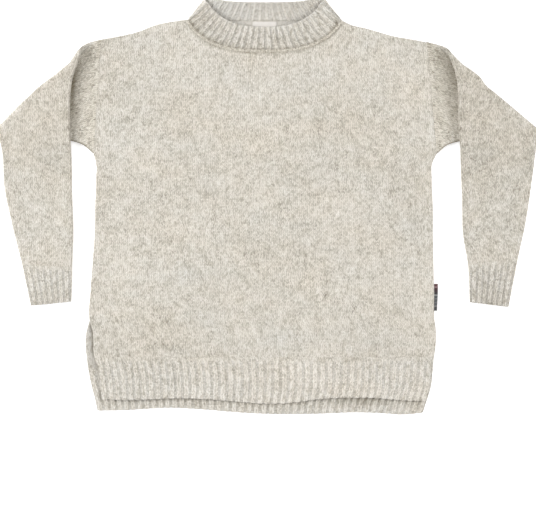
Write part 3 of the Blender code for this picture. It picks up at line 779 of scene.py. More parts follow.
def hem_band(name, layer, band_top, low_lift):
    """A ribbed band. Its edge is free at its foot and at both sides."""
    phase = np.linspace(0, HEM_RIBS, HEM_RIBS * RIB_STEPS + 1)
    share = phase / HEM_RIBS
    share = share - 0.011 * np.sin(2 * math.pi * share)         # the outer ribs are narrower
    from_foot = np.concatenate(((0, 0.25, 0.6, 1.0, 1.5, 2.4), np.linspace(4, 62, 12), (65.5, 69, 72)))
    height = np.append(from_foot / 75, (0.985, 1.0))[:, None]
    x = np.zeros((len(height), len(share)))
    for _ in range(5):
        y_low = through(x, HEM_EDGES, 1 if layer > 0 else 2)
        y = part_way(height, y_low, band_top)
        right, left = edge_x(-1, layer, y), edge_x(1, layer, y)
        x = part_way(share, right, left)
    ridge = rib_height(phase)
    grown = smooth((band_top - y - 3 * MM) / (9 * MM))
    y = y - HEM_SCALLOP * (ridge - 0.5) * (1 - height) ** 6
    x = x + rib_wander(x, y) * grown * smooth(np.minimum(share, 1 - share) * 20)
    thick = WALL + grown * (RIB_THICK - WALL - RIB_DEEP * rib_depth(phase) * (1 - ridge))
    thick = thick - (1 - grown) * WALE_DEPTH * wale_groove(4 * phase)
    end = rounded_end(height * (band_top - y_low))
    end = end * rounded_end(np.minimum(share, 1 - share) * (left - right) / 2.2)
    if layer > 0:
        # it stands off most where it ends highest, and lies down towards its right end
        free = 0.3 + 0.7 * smooth((y_low + 344 * MM) / (9 * MM))
        free = free * (1 - 0.85 * smooth((-235 * MM - x) / (40 * MM)))
        foot = MID + INNER + front_rise(x, y) + low_lift * free * (1 - height) ** 2
    else:
        foot = 0 * x
    # the underside's grooves lie under the ribs, because it shows the other side of the knitting
    under = 0.45 * RIB_DEEP * grown * ridge * (0.6 if layer < 0 else 1.0)
    low, high = foot + 0 * under, foot + thick
    middle = (low + high) / 2
    wide = np.maximum(high - low, 0.8 * MM) / 2 * end
    count = stacked(rib_count(phase, grown), y / COURSE, grown)
    # painted shade on the back band below the front's edge, most where that stands higher
    below = np.maximum(through(x, HEM_EDGES) - y, 0.0)
    on_ribs, in_grooves, deep = HEM_SHADE
    shaded = (on_ribs + in_grooves * (1 - ridge)) * np.exp(-below / deep)
    dark, place, width = HIGH_SHADE
    shaded = shaded + dark * bell(x - HIGH_EDGE[0], HIGH_EDGE[1]) * bell(below - place, width)
    shaded = shaded * (1 - smooth(-to_sides(x, y) / (4 * MM))) * (layer < 0)
    return knit_wall(name, (
        {"points": stacked(x, y, middle + wide), "stitches": count, "painted_shade": shaded},
        {"points": stacked(x, y, middle - wide + under * end),
         "stitches": count + (2.0, 0, 0)}), (rib_knit, rib_knit))


rib_knit = melange_wool("rib_knit", "ribbed", 0.07, flecks=1.15)
back_hem = hem_band("back_hem", -1, BACK_BAND_TOP, 0.0)
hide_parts("hem_rib_back")
front_hem = hem_band("front_hem", 1, FRONT_BAND_TOP, HEM_LIFT)
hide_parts("hem_rib_front")

# ---------------------------------------- sleeves
# Plain knit tubes, sewn to the dropped armholes. Each is folded slantwise over its own upper end:
# it lies on the front side of that stub, comes down beside it, and runs along the body.
RIGHT_SLEEVE = np.array((
    # distance from the centre line, upper edge, lower edge
    (286, 293, 84), (299, 290, 93), (314, 284.5, 106), (336, 277, 115), (357, 270, 118),
    (380, 265.7, 120), (410, 264.3, 124), (450, 265.5, 131), (500, 270, 147), (570, 274, 155.5),
    (640, 280, 174), (705, 281.5, 194), (775, 283, 213))) * MM
LEFT_SLEEVE = np.array((
    # distance from the centre line, upper edge, lower edge
    (284, 289, 84), (301.5, 284.5, 93), (318, 278.5, 107), (338, 273, 114), (358, 268.5, 118),
    (377, 267, 121), (410, 268.5, 126), (450, 273, 133), (500, 274.5, 140), (577, 279.5, 158),
    (645, 285.5, 177), (700, 283, 196), (780, 289, 221.5))) * MM
RIGHT_FOLD = np.array(((316, 282.5), (461, 145))) * MM
LEFT_FOLD = np.array(((318, 278), (472, 141))) * MM
PAINTED_FOLD_SHADE = {                      # painted shade on the stub: height, and how dark it is there close beside the fold
    -1: np.array(((100, 0.05), (130, 0.10), (150, 0.26), (171, 0.36), (192, 0.60), (213, 0.66),
                  (234, 0.43), (250, 0.05), (265, 0.0))),
    1: np.array(((100, 0.0), (200, 0.0), (220, 0.10), (235, 0.16), (250, 0.0)))}
PAINTED_FOLD_SHADE_REACH = 5.5 * MM
WIDE_PAINTED_FOLD_SHADE = {-1: (0.09, 22 * MM), 1: (0.21, 34 * MM)}     # painted shade further off: how dark, and how far
PAINTED_EDGE_SHADOW = (0.65, 2.2 * MM)    # painted shadow line along the stub's lower edge: how dark, and width
BEND_SHADE = 0.055              # painted shade on the folded part, more towards its upper end near the bend
EDGE_WALES = 1.5                # wales between a sleeve's turned edge and its flat face
FOLD_AXIS_Z = 8.4 * MM          # height of the line that a sleeve is folded about
LAYERS_APART = 2 * (FOLD_AXIS_Z - MID)
FOLD_WAVES = {                  # distance down the fold, and how far it strays inwards there
    -1: np.array(((0, 0), (12, -0.3), (25, 2.4), (40, 5.4), (52, 4.8), (75, 3.0), (100, -0.4),
                  (139, -1.4), (200, 0))) * MM,
    1: np.array(((0, 0), (19, 1.8), (43, 3.0), (60, 0.5), (78, -0.4), (95, 3.4), (119, 2.3),
                 (145, 1.4), (206, 0))) * MM}
WAVE_REACH = 17 * MM
FALL_LENGTH = 62 * MM           # over which the folded part comes down beside its stub
FOLD_PUFF = 5.0 * MM            # how much higher the loose fold stands near the body
PUFF_WIDTH = 75 * MM
STEEPEST_ROW = 0.55             # least sine of the angle between a row and the sleeve's edge
CUFF_TOP = {"right": (704 * MM, 704 * MM), "left": (699 * MM, 697 * MM)}
CUFF_END = {"right": (764 * MM, 775 * MM), "left": (764 * MM, 780 * MM)}


class Sleeve:
    """One sleeve: its outline laid straight, and the fold that turns it over its own stub."""

    def __init__(self, side, table, fold):
        self.side = side
        self.table = table
        self.along = unit(fold[1] - fold[0])
        self.out = np.array((-self.along[1], self.along[0]))
        self.axis = fold[0] - self.out * FOLD_AXIS_Z
        self.bend = FOLD_AXIS_Z - MID
        self.bend_length = math.pi * self.bend
        self.fold_top, self.fold_low = self.crossing(0.0, 1), self.crossing(0.0, 2)
        self.over_top = self.crossing(self.bend_length, 1)
        self.over_low = self.crossing(self.bend_length, 2)

    def edge(self, u, column):
        return through(u, self.table, column)

    def crossing(self, distance, column):
        """Where an edge is so far past the fold's axis."""
        low, high = self.table[0, 0], self.table[-1, 0]
        for _ in range(40):
            u = (low + high) / 2
            past = (np.array((u, self.edge(u, column))) - self.axis) @ self.out
            low, high = (u, high) if past < distance else (low, u)
        return u

    def slope(self, u, column, across):
        """How straight a row meets an edge, 1 at a right angle."""
        step = unit(np.array((2 * MM, self.edge(u + MM, column) - self.edge(u - MM, column))))
        return max(STEEPEST_ROW, abs(step[0] * across[1] - step[1] * across[0]))

    def fold(self, points, height):
        """Where points of the straight sleeve come to lie."""
        past = (points - self.axis) @ self.out
        along = (points - self.axis) @ self.along
        arm = FOLD_AXIS_Z - height
        angle = np.clip(past / self.bend, 0.0, math.pi)
        over = np.maximum(past - self.bend_length, 0.0)
        back = np.minimum(past, 0.0) + arm * np.sin(angle) - over
        near = bell(FOLD_AXIS_Z - np.minimum(back, FOLD_AXIS_Z), WAVE_REACH)
        back = back - through(along, FOLD_WAVES[self.side]) * near
        flat = self.axis + along[..., None] * self.along + back[..., None] * self.out
        z = FOLD_AXIS_Z - arm * np.cos(angle)
        foot = self.edge(flat[..., 0], 2)
        z = z - np.where(over > 0, LAYERS_APART * smooth((foot - flat[..., 1]) / FALL_LENGTH), 0.0)
        # the loose part is puffed up beside the armhole, and less further out and further down
        puff = smooth((flat[..., 0] - 304 * MM) / (16 * MM))
        puff = puff * smooth((flat[..., 1] - foot) / PUFF_WIDTH + 0.05)
        puff = puff * bell(np.maximum(flat[..., 0] - 326 * MM, 0), PUFF_WIDTH)
        z = z + FOLD_PUFF * puff * smooth((z - MID - OUTER) / LAYERS_APART)
        return stacked(self.side * flat[..., 0], flat[..., 1], z)

    def painted_shade_at(self, points):
        """The painted shade on the stub, close beside the part that is folded over it."""
        u = np.linspace(self.over_top, self.over_top + 250 * MM, 120)
        edge = self.fold(stacked(u, self.edge(u, 1)), np.full(len(u), MID))
        order = np.argsort(edge[:, 1])
        fold_x = np.interp(points[:, 1], edge[order, 1], self.side * edge[order, 0])
        beside = fold_x - self.side * points[:, 0]
        uncovered = smooth(1 + beside / (5 * MM))
        beside = np.maximum(beside, 0.0)
        near = through(points[:, 1] / MM, PAINTED_FOLD_SHADE[self.side])
        wide, reach = WIDE_PAINTED_FOLD_SHADE[self.side]
        # the wide painted shade fades out downwards
        wide = wide * smooth((points[:, 1] - 138 * MM) / (72 * MM))
        dark = near * bell(beside, PAINTED_FOLD_SHADE_REACH) + wide * bell(beside, reach)
        return dark * uncovered * (points[:, 2] > MID)

    def row(self, top_u, low_u):
        """A row of the flat tube: its upper end, the way down to its lower one, its width, what
        that comes to square to the upper and to the lower edge, and where it turns at each."""
        top = np.array((top_u, self.edge(top_u, 1)))
        down = np.array((low_u, self.edge(low_u, 2))) - top
        width = np.linalg.norm(down)
        top_square, low_square = (width * self.slope(*at, down / width)
                                  for at in ((top_u, 1), (low_u, 2)))
        return top, down, width, top_square, low_square, OUTER / top_square, 1 - OUTER / low_square

    def rows(self, before, bend, after):
        """Where the rows meet the upper and lower edges, from the armhole to the cuff."""
        seam = [abs(float(edge_x(self.side, 1, y))) for y in (SHOULDER_END, UNDERARM)]
        cuff = CUFF_TOP["right" if self.side < 0 else "left"]
        rows = [(part_way(f, seam[0], self.fold_top), part_way(f, seam[1], self.fold_low))
                for f in before]
        rows += [(self.crossing(d, 1), self.crossing(d, 2)) for d in bend * self.bend_length]
        rows += [(part_way(f, self.over_top, cuff[0]), part_way(f, self.over_low, cuff[1]))
                 for f in after]
        return rows


def all_round(seam, front, top, back=-1):
    """Values of a tube's columns, from those at its seam, on its front and at its upper edge."""
    return np.concatenate((back * seam, back * front[::-1], top, front, seam[:0:-1]))


def sleeve_side(sleeve, rows, radius, step, turn_steps, groove, sewn):
    """One side of a sleeve's wall. It goes round from the underarm seam over the back, the upper
    edge and the front. Its columns keep their distance from the upper edge, as wales do, and
    those that reach the underarm seam end there. sewn is how far each row rounds in."""
    widest = max(float(sleeve.edge(top, 1) - sleeve.edge(low, 2)) for top, low in rows)
    depths = OUTER + np.arange(0, math.ceil(widest / step)) * step
    seam_angles = np.radians(np.linspace(90, 0, turn_steps, endpoint=False))
    top_angles = np.radians(np.linspace(0, 180, 2 * turn_steps + 1)[1:-1])
    trial = np.linspace(0, 1, 60)
    last_depth = len(depths) - 1
    front_start = turn_steps + len(depths) + len(top_angles)
    points, stitches, closing, same, painted_shade = [], [], [], [], []
    for (top_u, low_u), rounding in zip(rows, sewn):
        top, down, width, top_square, low_square, start, end = sleeve.row(top_u, low_u)
        line = top + trial[:, None] * down
        depth_at = sleeve.edge(line[:, 0], 1) - line[:, 1]
        share = np.clip(np.interp(depths, depth_at, trial), start, end)
        share[0] = start
        last = int(np.argmax(share >= end)) if (share >= end).any() else last_depth
        share[last:] = end
        depth = np.interp(share, trial, depth_at)
        fade = smooth((depth[last] - depth) / (5 * MM)) * smooth((share - start) * width / MM)
        r = radius - rounding
        layer = r - groove * WALE_DEPTH * wale_groove((depths - OUTER) / WALE + EDGE_WALES) * fade
        seam_share = end + r * np.sin(seam_angles) / low_square
        shares = all_round(seam_share, share, start - r * np.sin(top_angles) / top_square, 1)
        heights = all_round(r * np.cos(seam_angles), layer, -r * np.cos(top_angles))
        flat = top + shares[:, None] * down
        points.append(sleeve.fold(flat, MID + heights))
        # painted shade on the stub beside the folded part
        if top_u < sleeve.over_top:
            # a painted shadow line along the stub's lower edge
            edge_shadow = PAINTED_EDGE_SHADOW[0] * bell((1 - shares) * low_square, PAINTED_EDGE_SHADOW[1])
            painted_shade.append(sleeve.painted_shade_at(points[-1]) + edge_shadow)
        else:
            # painted shade on the folded part, more towards its upper end
            painted_shade.append(BEND_SHADE * smooth((points[-1][:, 1] - 25 * MM) / (60 * MM)))
        across_face = (depth - OUTER) / WALE + EDGE_WALES
        seam_face = across_face[last] + seam_angles * OUTER / WALE
        wales = all_round(seam_face, across_face, (top_angles / (math.pi / 2) - 1) * EDGE_WALES)
        stitches.append(stacked(wales, flat[:, 0] / COURSE))
        closing.append((-wales[0], flat[0, 0] / COURSE))
        columns = np.arange(len(shares))
        back = slice(turn_steps, turn_steps + len(depths))
        columns[back] = np.maximum(columns[back], turn_steps + last_depth - last)
        ahead = slice(front_start, front_start + len(depths))
        columns[ahead] = np.minimum(columns[ahead], front_start + last)
        same.append(columns)
    return {"points": np.array(points), "stitches": np.array(stitches),
            "closing": np.array(closing), "same": np.array(same), "painted_shade": np.array(painted_shade)}


def sewn_rows(rows, depth):
    """How far the rows next to the armhole round in."""
    beyond = np.array([low for _, low in rows]) - rows[0][1]
    return depth * (1 - smooth(beyond / (3 * MM)))


before = np.concatenate(((0, 0.006, 0.014, 0.025), np.linspace(0.05, 0.985, 30)))
after = np.concatenate(((0.012,), np.linspace(0.03, 1, 66)))
sleeves, tubes_of_sleeves = {}, []
# the left sleeve is a darker copy of the plain knit: painted shade on the side where less light falls
sleeve_knits = {"right": plain_knit, "left": melange_wool("left_sleeve_knit_painted_shade", shade=-0.035)}
# the stubs' copy of the knit has a warmer tint, which is painted shade, and stronger flecks
sleeve_head_knit_warm_shade = melange_wool("sleeve_head_knit_warm_shade", flecks=1.25,
                                tints=((0.99, 1.0, 0.995), (1.03, 1.0, 0.95)))
for key, side, table, fold in (("right", -1, RIGHT_SLEEVE, RIGHT_FOLD),
                               ("left", 1, LEFT_SLEEVE, LEFT_FOLD)):
    sleeve = sleeves[key] = Sleeve(side, table, fold)
    rows = sleeve.rows(before, np.linspace(0, 1, 19), after)
    inner_rows = sleeve.rows(np.linspace(0, 0.97, 8), np.linspace(0, 1, 7), np.linspace(0.03, 1, 14))
    outer = sleeve_side(sleeve, rows, OUTER, WALE / 4, 6, 1, sewn_rows(rows, SEAM_ROUND))
    # the stubs' rows take their own knit, with its painted warm shade
    outer["finish"] = [2 if top < sleeve.fold_top else 0 for top, _ in rows[:-1]]
    inner = sleeve_side(sleeve, inner_rows, INNER, 9 * MM, 3, 0, np.zeros(len(inner_rows)))
    tube = knit_wall("sleeve_knit_" + key, (outer, inner),
                     (sleeve_knits[key], purl_knit, sleeve_head_knit_warm_shade), ring=True)
    tubes_of_sleeves.append(tube)
    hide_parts("sleeve_" + key)

# ---------------------------------------- cuffs
# A ribbed band in one round with each sleeve, two plain stitches and two purl ones in turn. It
# draws the sleeve's end in a little.
CUFF_RIBS = 16
CUFF_LENGTH = 65 * MM
CUFF_RISE = 0.4 * MM            # how far its ribs stand above the sleeve
CUFF_DEEP = {"right": 0.45 * MM, "left": 0.8 * MM}      # and how far its grooves go down
CUFF_SCALLOP = 0.7 * MM         # how much further the ribs reach than the grooves
# the left cuff's copy is darker than the right's: painted shade on the side where less light falls
cuff_knits = {"right": melange_wool("right_cuff_knit", "ribbed", 0.02, flecks=1.2),
              "left": melange_wool("left_cuff_knit_painted_shade", "ribbed", -0.02, flecks=1.2)}

for key in ("right", "left"):
    sleeve = sleeves[key]
    (top_start, low_start), (top_end, low_end) = CUFF_TOP[key], CUFF_END[key]
    down = np.concatenate((np.linspace(0, 0.92, 18), (0.945, 0.965, 0.98, 0.99, 1.0)))
    phase = np.arange(CUFF_RIBS * RIB_STEPS) / RIB_STEPS
    ridge = rib_height(phase)
    outer_side, inner_side, counts, closing = [], [], [], []
    for f in down:
        top, down_row, width, top_square, low_square, start, end = sleeve.row(
            part_way(f, top_start, top_end), part_way(f, low_start, low_end))
        lengths = np.cumsum((0,) + (width - 2 * OUTER, math.pi * OUTER) * 2)
        place = np.interp(phase / CUFF_RIBS * lengths[-1], lengths, range(5))
        part, within = np.floor(place).astype(int), place % 1.0
        angle = math.pi * within
        grown = smooth(f * CUFF_LENGTH / (12 * MM))
        rim = float(rounded_end((1 - f) * CUFF_LENGTH))
        resting = part == 0
        deep = CUFF_DEEP[key] * rib_depth(phase + 7)
        high = WALL + grown * (CUFF_RISE * ridge * ~resting - deep * (1 - ridge))
        middle = INNER + high / 2
        wide = np.maximum(high, 1.0 * MM) / 2 * rim
        for radius, made in ((middle + wide, outer_side), (middle - wide, inner_side)):
            aside, above = radius * np.sin(angle), radius * np.cos(angle)
            share = np.choose(part, (part_way(within, start, end), end + aside / low_square,
                                     part_way(within, end, start), start - aside / top_square))
            height = np.minimum(np.choose(part, (radius, above, -radius, -above)), OUTER)
            flat = top + share[:, None] * down_row
            flat[:, 0] += CUFF_SCALLOP * (ridge - 0.5) * f ** 8
            made.append(sleeve.fold(flat, MID + height))
        counts.append(stacked(rib_count(phase), flat[:, 0] / COURSE, 0 * phase + grown))
        closing.append((CUFF_RIBS * 4, flat[0, 0] / COURSE, grown))
    cuff = knit_wall("cuff_knit_" + key, (
        {"points": np.array(outer_side), "stitches": np.array(counts), "closing": np.array(closing)},
        {"points": np.array(inner_side), "stitches": np.array(counts) + (2, 0, 0),
         "closing": np.array(closing) + (2, 0, 0)}), (cuff_knits[key], cuff_knits[key]), ring=True)
    tubes_of_sleeves.append(cuff)
    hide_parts("cuff_" + key)

# ---------------------------------------- collar
# A short ribbed stand-up collar in one round, which narrows upwards. It is linked on round the
# neckline, and its back part stands up behind the front one.
RIM_HALF = 105 * MM             # half width of the collar's upper edge
RIM_Y = 360 * MM
FRONT_RIM_DEPTH = 47.5 * MM
BACK_RIM_DEPTH = 5.5 * MM
FRONT_RIM_SQUARENESS = 2.8
BACK_RIM_SQUARENESS = 2.6
RIM_FRONT_Z = 13 * MM
RIM_SIDE_Z = 15.5 * MM
RIM_BACK_Z = 17 * MM
RIM_TURN = 6 * MM               # radius on which the upper edge turns at its sides
COLLAR_WALL = 2.6 * MM
COLLAR_RIB = 0.62 * MM          # half the height of its ribs, which show on both faces
COLLAR_PITCH = 11 * MM
COLLAR_LEAN = math.radians(75)  # how far its sides turn towards the rim, which opens the ring
COLLAR_START = -2.0 * MM        # its lower edge is tucked into the neckline
COLLAR_COURSES = 17             # rows of stitches from the neckline to its rim
COLLAR_SHADE = (0.28, 0.05, 0.06)       # painted shade along its front foot: how dark, place and width
COLLAR_LOW = (0.12, 0.10)       # painted shade on its low front part: on ribs, and how much more in grooves
COLLAR_END = 0.09               # and more painted shade at its right end
BACK_SHADE = (0.35, 0.02, 0.05)         # painted shade inside, along its back foot
EASING = (                      # the path's corners are eased by a mean of these
    # step along it, and share
    (-0.06, 0.12), (-0.03, 0.23), (0, 0.30), (0.03, 0.23), (0.06, 0.12))


def collar_path(place, h):
    """Points half way through the collar's wall. place goes from 0 to 4 round it: the front from
    the right to the left, the left side, the back and the right side. h goes up to its rim."""
    place = place % 4.0
    part = np.floor(place).astype(int)
    f = place - part
    lift = 0.35 * h + 0.65 * h * np.abs(h)
    seam_turn = INNER + WALL / 2
    turn = part_way(np.maximum(h, 0), seam_turn, RIM_TURN)
    reach = part_way(h, NECK_HALF, RIM_HALF)
    half = reach - turn - COLLAR_WALL / 2
    side_z = part_way(lift, MID, RIM_SIDE_Z)
    up = stacked(0 * h, -np.sin(h * COLLAR_LEAN), np.cos(h * COLLAR_LEAN))
    corner_y = part_way(h, NECK_Y, RIM_Y)
    # the two sides
    side = np.where(part == 1, 1.0, -1.0)
    angle = math.pi * np.where(part == 1, f, 1 - f)
    out = stacked(side * np.sin(angle), 0 * angle, 0 * angle)
    round_side = (stacked(side * half, corner_y, side_z)
                  + turn[..., None] * (out + up * np.cos(angle)[..., None]))
    # the front and the back: sewn along the neckline below, and free to bow higher up
    front = part == 0
    face = np.where(front, 1.0, -1.0)
    depth = np.where(front, part_way(h, FRONT_NECK_DEPTH, FRONT_RIM_DEPTH),
                     part_way(h, BACK_NECK_DEPTH, BACK_RIM_DEPTH))
    squareness = part_way(h, NECK_SQUARENESS,
                          np.where(front, FRONT_RIM_SQUARENESS, BACK_RIM_SQUARENESS))
    # these two go from 0 at each side to 1 between them
    into = smooth(np.sin(math.pi * f) * 3)
    high = smooth(np.sin(math.pi * f) * 1.6)
    free = smooth(h / 0.4)
    end = (turn * face)[..., None] * up
    sewn_x = -face * np.cos(math.pi * f) * (half + into * (reach - half))
    sewn_y = neck_curve(sewn_x, reach, corner_y, depth, squareness)
    sewn_y = into * sewn_y + (1 - into) * (corner_y + end[..., 1])
    free_x = -face * np.cos(math.pi * f) * half
    free_y = neck_curve(free_x, half, corner_y, depth, squareness)
    free_y = free_y + end[..., 1] * np.cos(math.pi * f) ** 6
    middle_z = part_way(lift, MID + face * seam_turn, np.where(front, RIM_FRONT_Z, RIM_BACK_Z))
    long_side = stacked(part_way(free, sewn_x, free_x), part_way(free, sewn_y, free_y),
                        part_way(high, side_z + end[..., 2], middle_z))
    return np.where(((part == 1) | (part == 3))[..., None], round_side, long_side)


def collar_middle(place, h):
    """The same path, with its corners eased."""
    return sum(share * collar_path(place + offset, h) for offset, share in EASING)


def collar_directions(place, h):
    """Out of the collar's outer side, and up along it."""
    along = collar_middle(place + 0.004, h) - collar_middle(place - 0.004, h)
    up = unit(collar_middle(place, np.minimum(h + 0.01, 1.0)) - collar_middle(place, h - 0.01))
    return unit(np.cross(along, up)), up


trial = np.linspace(0, 3.99999, 1601)
lengths = lengths_along(collar_middle(trial, np.full(len(trial), 0.5)))
collar_ribs = round(float(lengths[-1]) / COLLAR_PITCH)
phase = np.arange(collar_ribs * RIB_STEPS) / RIB_STEPS
place = np.interp(phase / collar_ribs * lengths[-1], lengths, trial)
ridge = rib_height(phase)
climb = np.concatenate((np.linspace(COLLAR_START / (RIM_Y - NECK_Y), 0.93, 17), (0.965, 0.985, 1.0)))
roll = np.radians(np.linspace(0, 180, 9))[1:-1]
grid, counts, painted_shade = [], [], []
for h, angle in ([(h, 0.0) for h in climb] + [(1.0, a) for a in roll]
                 + [(h, math.pi) for h in climb[::-1]]):
    hs = np.full(len(place), float(h))
    out, up = collar_directions(place, hs)
    # its ribs grow just above the seam, and are a little flatter at its rim
    grown = float(smooth(h / 0.14)) * (1 - 0.35 * float(smooth((h - 0.86) / 0.14)))
    shift = COLLAR_RIB * grown * (2 * ridge - 1)
    middle = collar_middle(place, hs) + shift[:, None] * out
    wall = middle + COLLAR_WALL / 2 * (math.cos(angle) * out + math.sin(angle) * up)
    wall[:, 2] = np.maximum(wall[:, 2], 0.05 * MM)
    grid.append(wall)
    outside = angle < 2
    # the inner side's counts run on from 40, so that painted light makes the rim and the inner side
    # lighter, where they lie in shade
    up_count = h * COLLAR_COURSES + math.sin(angle) * 0.6 + (0 if outside else 40)
    counts.append(stacked(rib_count(phase) + (0 if outside else 2), 0 * phase + up_count))
    # painted shade: on the front's outer face along its foot, in its low grooves and at its right end,
    # and inside along the back's foot
    low_down = (1 - max(h, 0.0)) ** 1.5
    dark, from_foot, width = COLLAR_SHADE
    front_shade = (dark * bell(h - from_foot, width)
                   + low_down * (COLLAR_LOW[0] + COLLAR_LOW[1] * (1 - ridge)))
    front_shade = front_shade + COLLAR_END * smooth(1.3 - 3 * place)
    dark, from_foot, width = BACK_SHADE
    back_shade = dark * bell(h - from_foot, width) * (place > 2) * (place < 3)
    painted_shade.append(front_shade * (place < 1) if outside else back_shade)
counts = np.array(counts)
closing = counts[:, 0] + (collar_ribs * 4, 0)
# painted light: the collar's rim and inner side are lighter
collar_knit = melange_wool("collar_knit", "ribbed", 0.09, painted_light=(16.3, 17.4, 0.15), flecks=1.35)
collar = knit_wall("collar_knit", (
    {"points": np.array(grid), "stitches": counts, "closing": closing, "painted_shade": np.array(painted_shade)},),
    (collar_knit,), ring=True, loop=True)
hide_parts("collar")

# ---------------------------------------- linking chain
# The collar is joined to the neckline by a chain of the same yarn, stitch by stitch. Each loop of
# the chain comes up through the one before it, and they lie in a row along the front of the neck.
CHAIN_STITCH = 6.4 * MM
CHAIN_HALF = 1.15 * MM          # half the width of a loop, between the middles of its strands
CHAIN_YARN = 1.15 * MM          # radius of the yarn
LOOP_STEPS = 18
YARN_SIDES = 8
UPRIGHT = (0.31, 0.17, 0.93)    # nearly, so that no strand runs along it


def round_strand(aside, heading, corners):
    """Corners round a strand, at a distance of 1 from it, from two of its directions."""
    turn = np.arange(corners) * 2 * math.pi / corners
    above = np.cross(aside, heading)
    return np.cos(turn)[:, None] * aside[:, None] + np.sin(turn)[:, None] * above[:, None]


def tube_faces(rings, corners, count=1, ends=True):
    """Faces of tubes that go from ring to ring of corners, and round to the first without ends."""
    one = [(k * corners + a, k * corners + (a + 1) % corners,
            (k + 1) % rings * corners + (a + 1) % corners, (k + 1) % rings * corners + a)
           for k in range(rings - ends) for a in range(corners)]
    if ends:
        one += [tuple(range(corners)), tuple(range((rings - 1) * corners, rings * corners))]
    return [tuple(n * rings * corners + a for a in face) for n in range(count) for face in one]


def plain_piece(name, points, faces, material):
    """A piece that isn't knitted, from its points and faces."""
    mesh = bpy.data.meshes.new(name)
    mesh.from_pydata([(x + CENTRE_X, y, z) for x, y, z in points], [], faces)
    piece = sewn_piece(name, mesh, (material,), 50)
    return piece


chain_yarn, tree, shader = new_material("chain_yarn", WOOL)
spot = tree.nodes.new("ShaderNodeTexCoord").outputs["Object"]
tone = plus_times(tree, noise(tree, spot, 380.0, 4.0, 0.75, "3D"), 2.0, -0.52)
dress(tree, shader, shades(tree, tone, YARN_COLOURS), noise(tree, spot, 1500.0, 2.0, 0.6, "3D"),
      0.6, 0.4 * MM)

x = NECK_HALF * -np.cos(np.linspace(0.06, math.pi - 0.06, 600))
y = neck_curve(x, NECK_HALF, NECK_Y, FRONT_NECK_DEPTH, NECK_SQUARENESS) - 0.6 * MM
z = MID + OUTER + front_rise(x, y) + 0.2 * MM
line = stacked(x, y, z)
lengths = lengths_along(line)
turn = np.linspace(0, 2 * math.pi, LOOP_STEPS, endpoint=False)
points = []
loops = int(lengths[-1] / CHAIN_STITCH) - 1
for k in range(loops):
    # a loop is narrow where it comes out of the last one and wide at its head, which lies on top
    far = 0.5 - 0.5 * np.cos(turn)
    at = (k + 0.1 + 1.45 * far) * CHAIN_STITCH
    wide = CHAIN_HALF * np.sin(turn) * (0.75 + 0.35 * far)
    high = CHAIN_YARN * (0.1 + 0.9 * far ** 3 - 0.4 * (1 - far) ** 2)
    middle, ahead = (stacked(*(np.interp(a, lengths, line[:, axis]) for axis in range(3)))
                     for a in (at, at + MM))
    along = (ahead - middle) / np.maximum(np.linalg.norm(ahead - middle, axis=1, keepdims=True), 1e-9)
    out = stacked(-along[:, 1], along[:, 0], 0 * at)
    path = middle + wide[:, None] * out + high[:, None] * (0, 0, 1)
    along = unit(np.roll(path, -1, axis=0) - np.roll(path, 1, axis=0))
    ring = round_strand(unit(np.cross(along, UPRIGHT)), along, YARN_SIDES)
    points += (path[:, None] + ring * CHAIN_YARN).reshape(-1, 3).tolist()
plain_piece("linking_chain", points, tube_faces(LOOP_STEPS, YARN_SIDES, loops, ends=False), chain_yarn)

# ---------------------------------------- loose fibres
# Short ends of wool stand off the knitting everywhere. They make its edges soft, and a thin
# down of them lies over its faces.
FIBRE_RADIUS = 0.06 * MM
FIBRE_COLOURS = ((0.0, (0.30, 0.26, 0.21)), (0.25, (0.66, 0.62, 0.55)), (0.6, (0.88, 0.85, 0.79)))


def loose_fibres(name, pieces, count, edges, shortest, longest, seed):
    """Bent slivers that are rooted in the knitting, either round its edges or all over its top."""
    random = np.random.default_rng(seed)
    centres, normals, areas = [], [], []
    for knitted in pieces:
        faces = len(knitted.data.polygons)
        for key, width, kept in (("center", 3, centres), ("normal", 3, normals), ("area", 1, areas)):
            values = np.empty(faces * width, np.float32)
            knitted.data.polygons.foreach_get(key, values)
            kept.append(values.reshape(faces, width))
    centres, normals, areas = (np.concatenate(a).astype(float) for a in (centres, normals, areas))
    upright = normals[:, 2]
    wanted = (np.abs(upright) < 0.6) * (centres[:, 2] > 0.8 * MM) if edges else upright > 0.75
    chances = areas[:, 0] * wanted
    chosen = random.choice(len(chances), count, p=chances / chances.sum())
    normal = normals[chosen]
    stray = random.normal(size=(count, 3))
    stray = unit(stray - (0 if edges else 1) * normal * (stray * normal).sum(axis=1, keepdims=True))
    heading = normal * (0.9 if edges else 0.45) + stray * (0.9 if edges else 1.0)
    curl = random.normal(size=(count, 3)) * 0.5 - (0 if edges else 0.3) * normal
    step = random.uniform(shortest, longest, (count, 1)) / 3
    spots = [centres[chosen] - normal * 0.25 * MM]
    for _ in range(3):
        heading = unit(heading)
        spots.append(spots[-1] + heading * step)
        heading = heading + curl
    spots = np.stack(spots, axis=1)
    spots[..., 2] = np.maximum(spots[..., 2], 1.5 * FIBRE_RADIUS)
    aside = unit(np.cross(spots[:, 1] - spots[:, 0], random.normal(size=(count, 3))))
    radii = FIBRE_RADIUS * np.array((1.0, 1.0, 0.8, 0.4))
    ring = round_strand(aside, unit(heading), 3)
    points = spots[:, :, None] + ring[:, None] * radii[None, :, None, None] - (CENTRE_X, 0, 0)
    plain_piece(name, points.reshape(-1, 3).tolist(), tube_faces(4, 3, count), fibre_material)


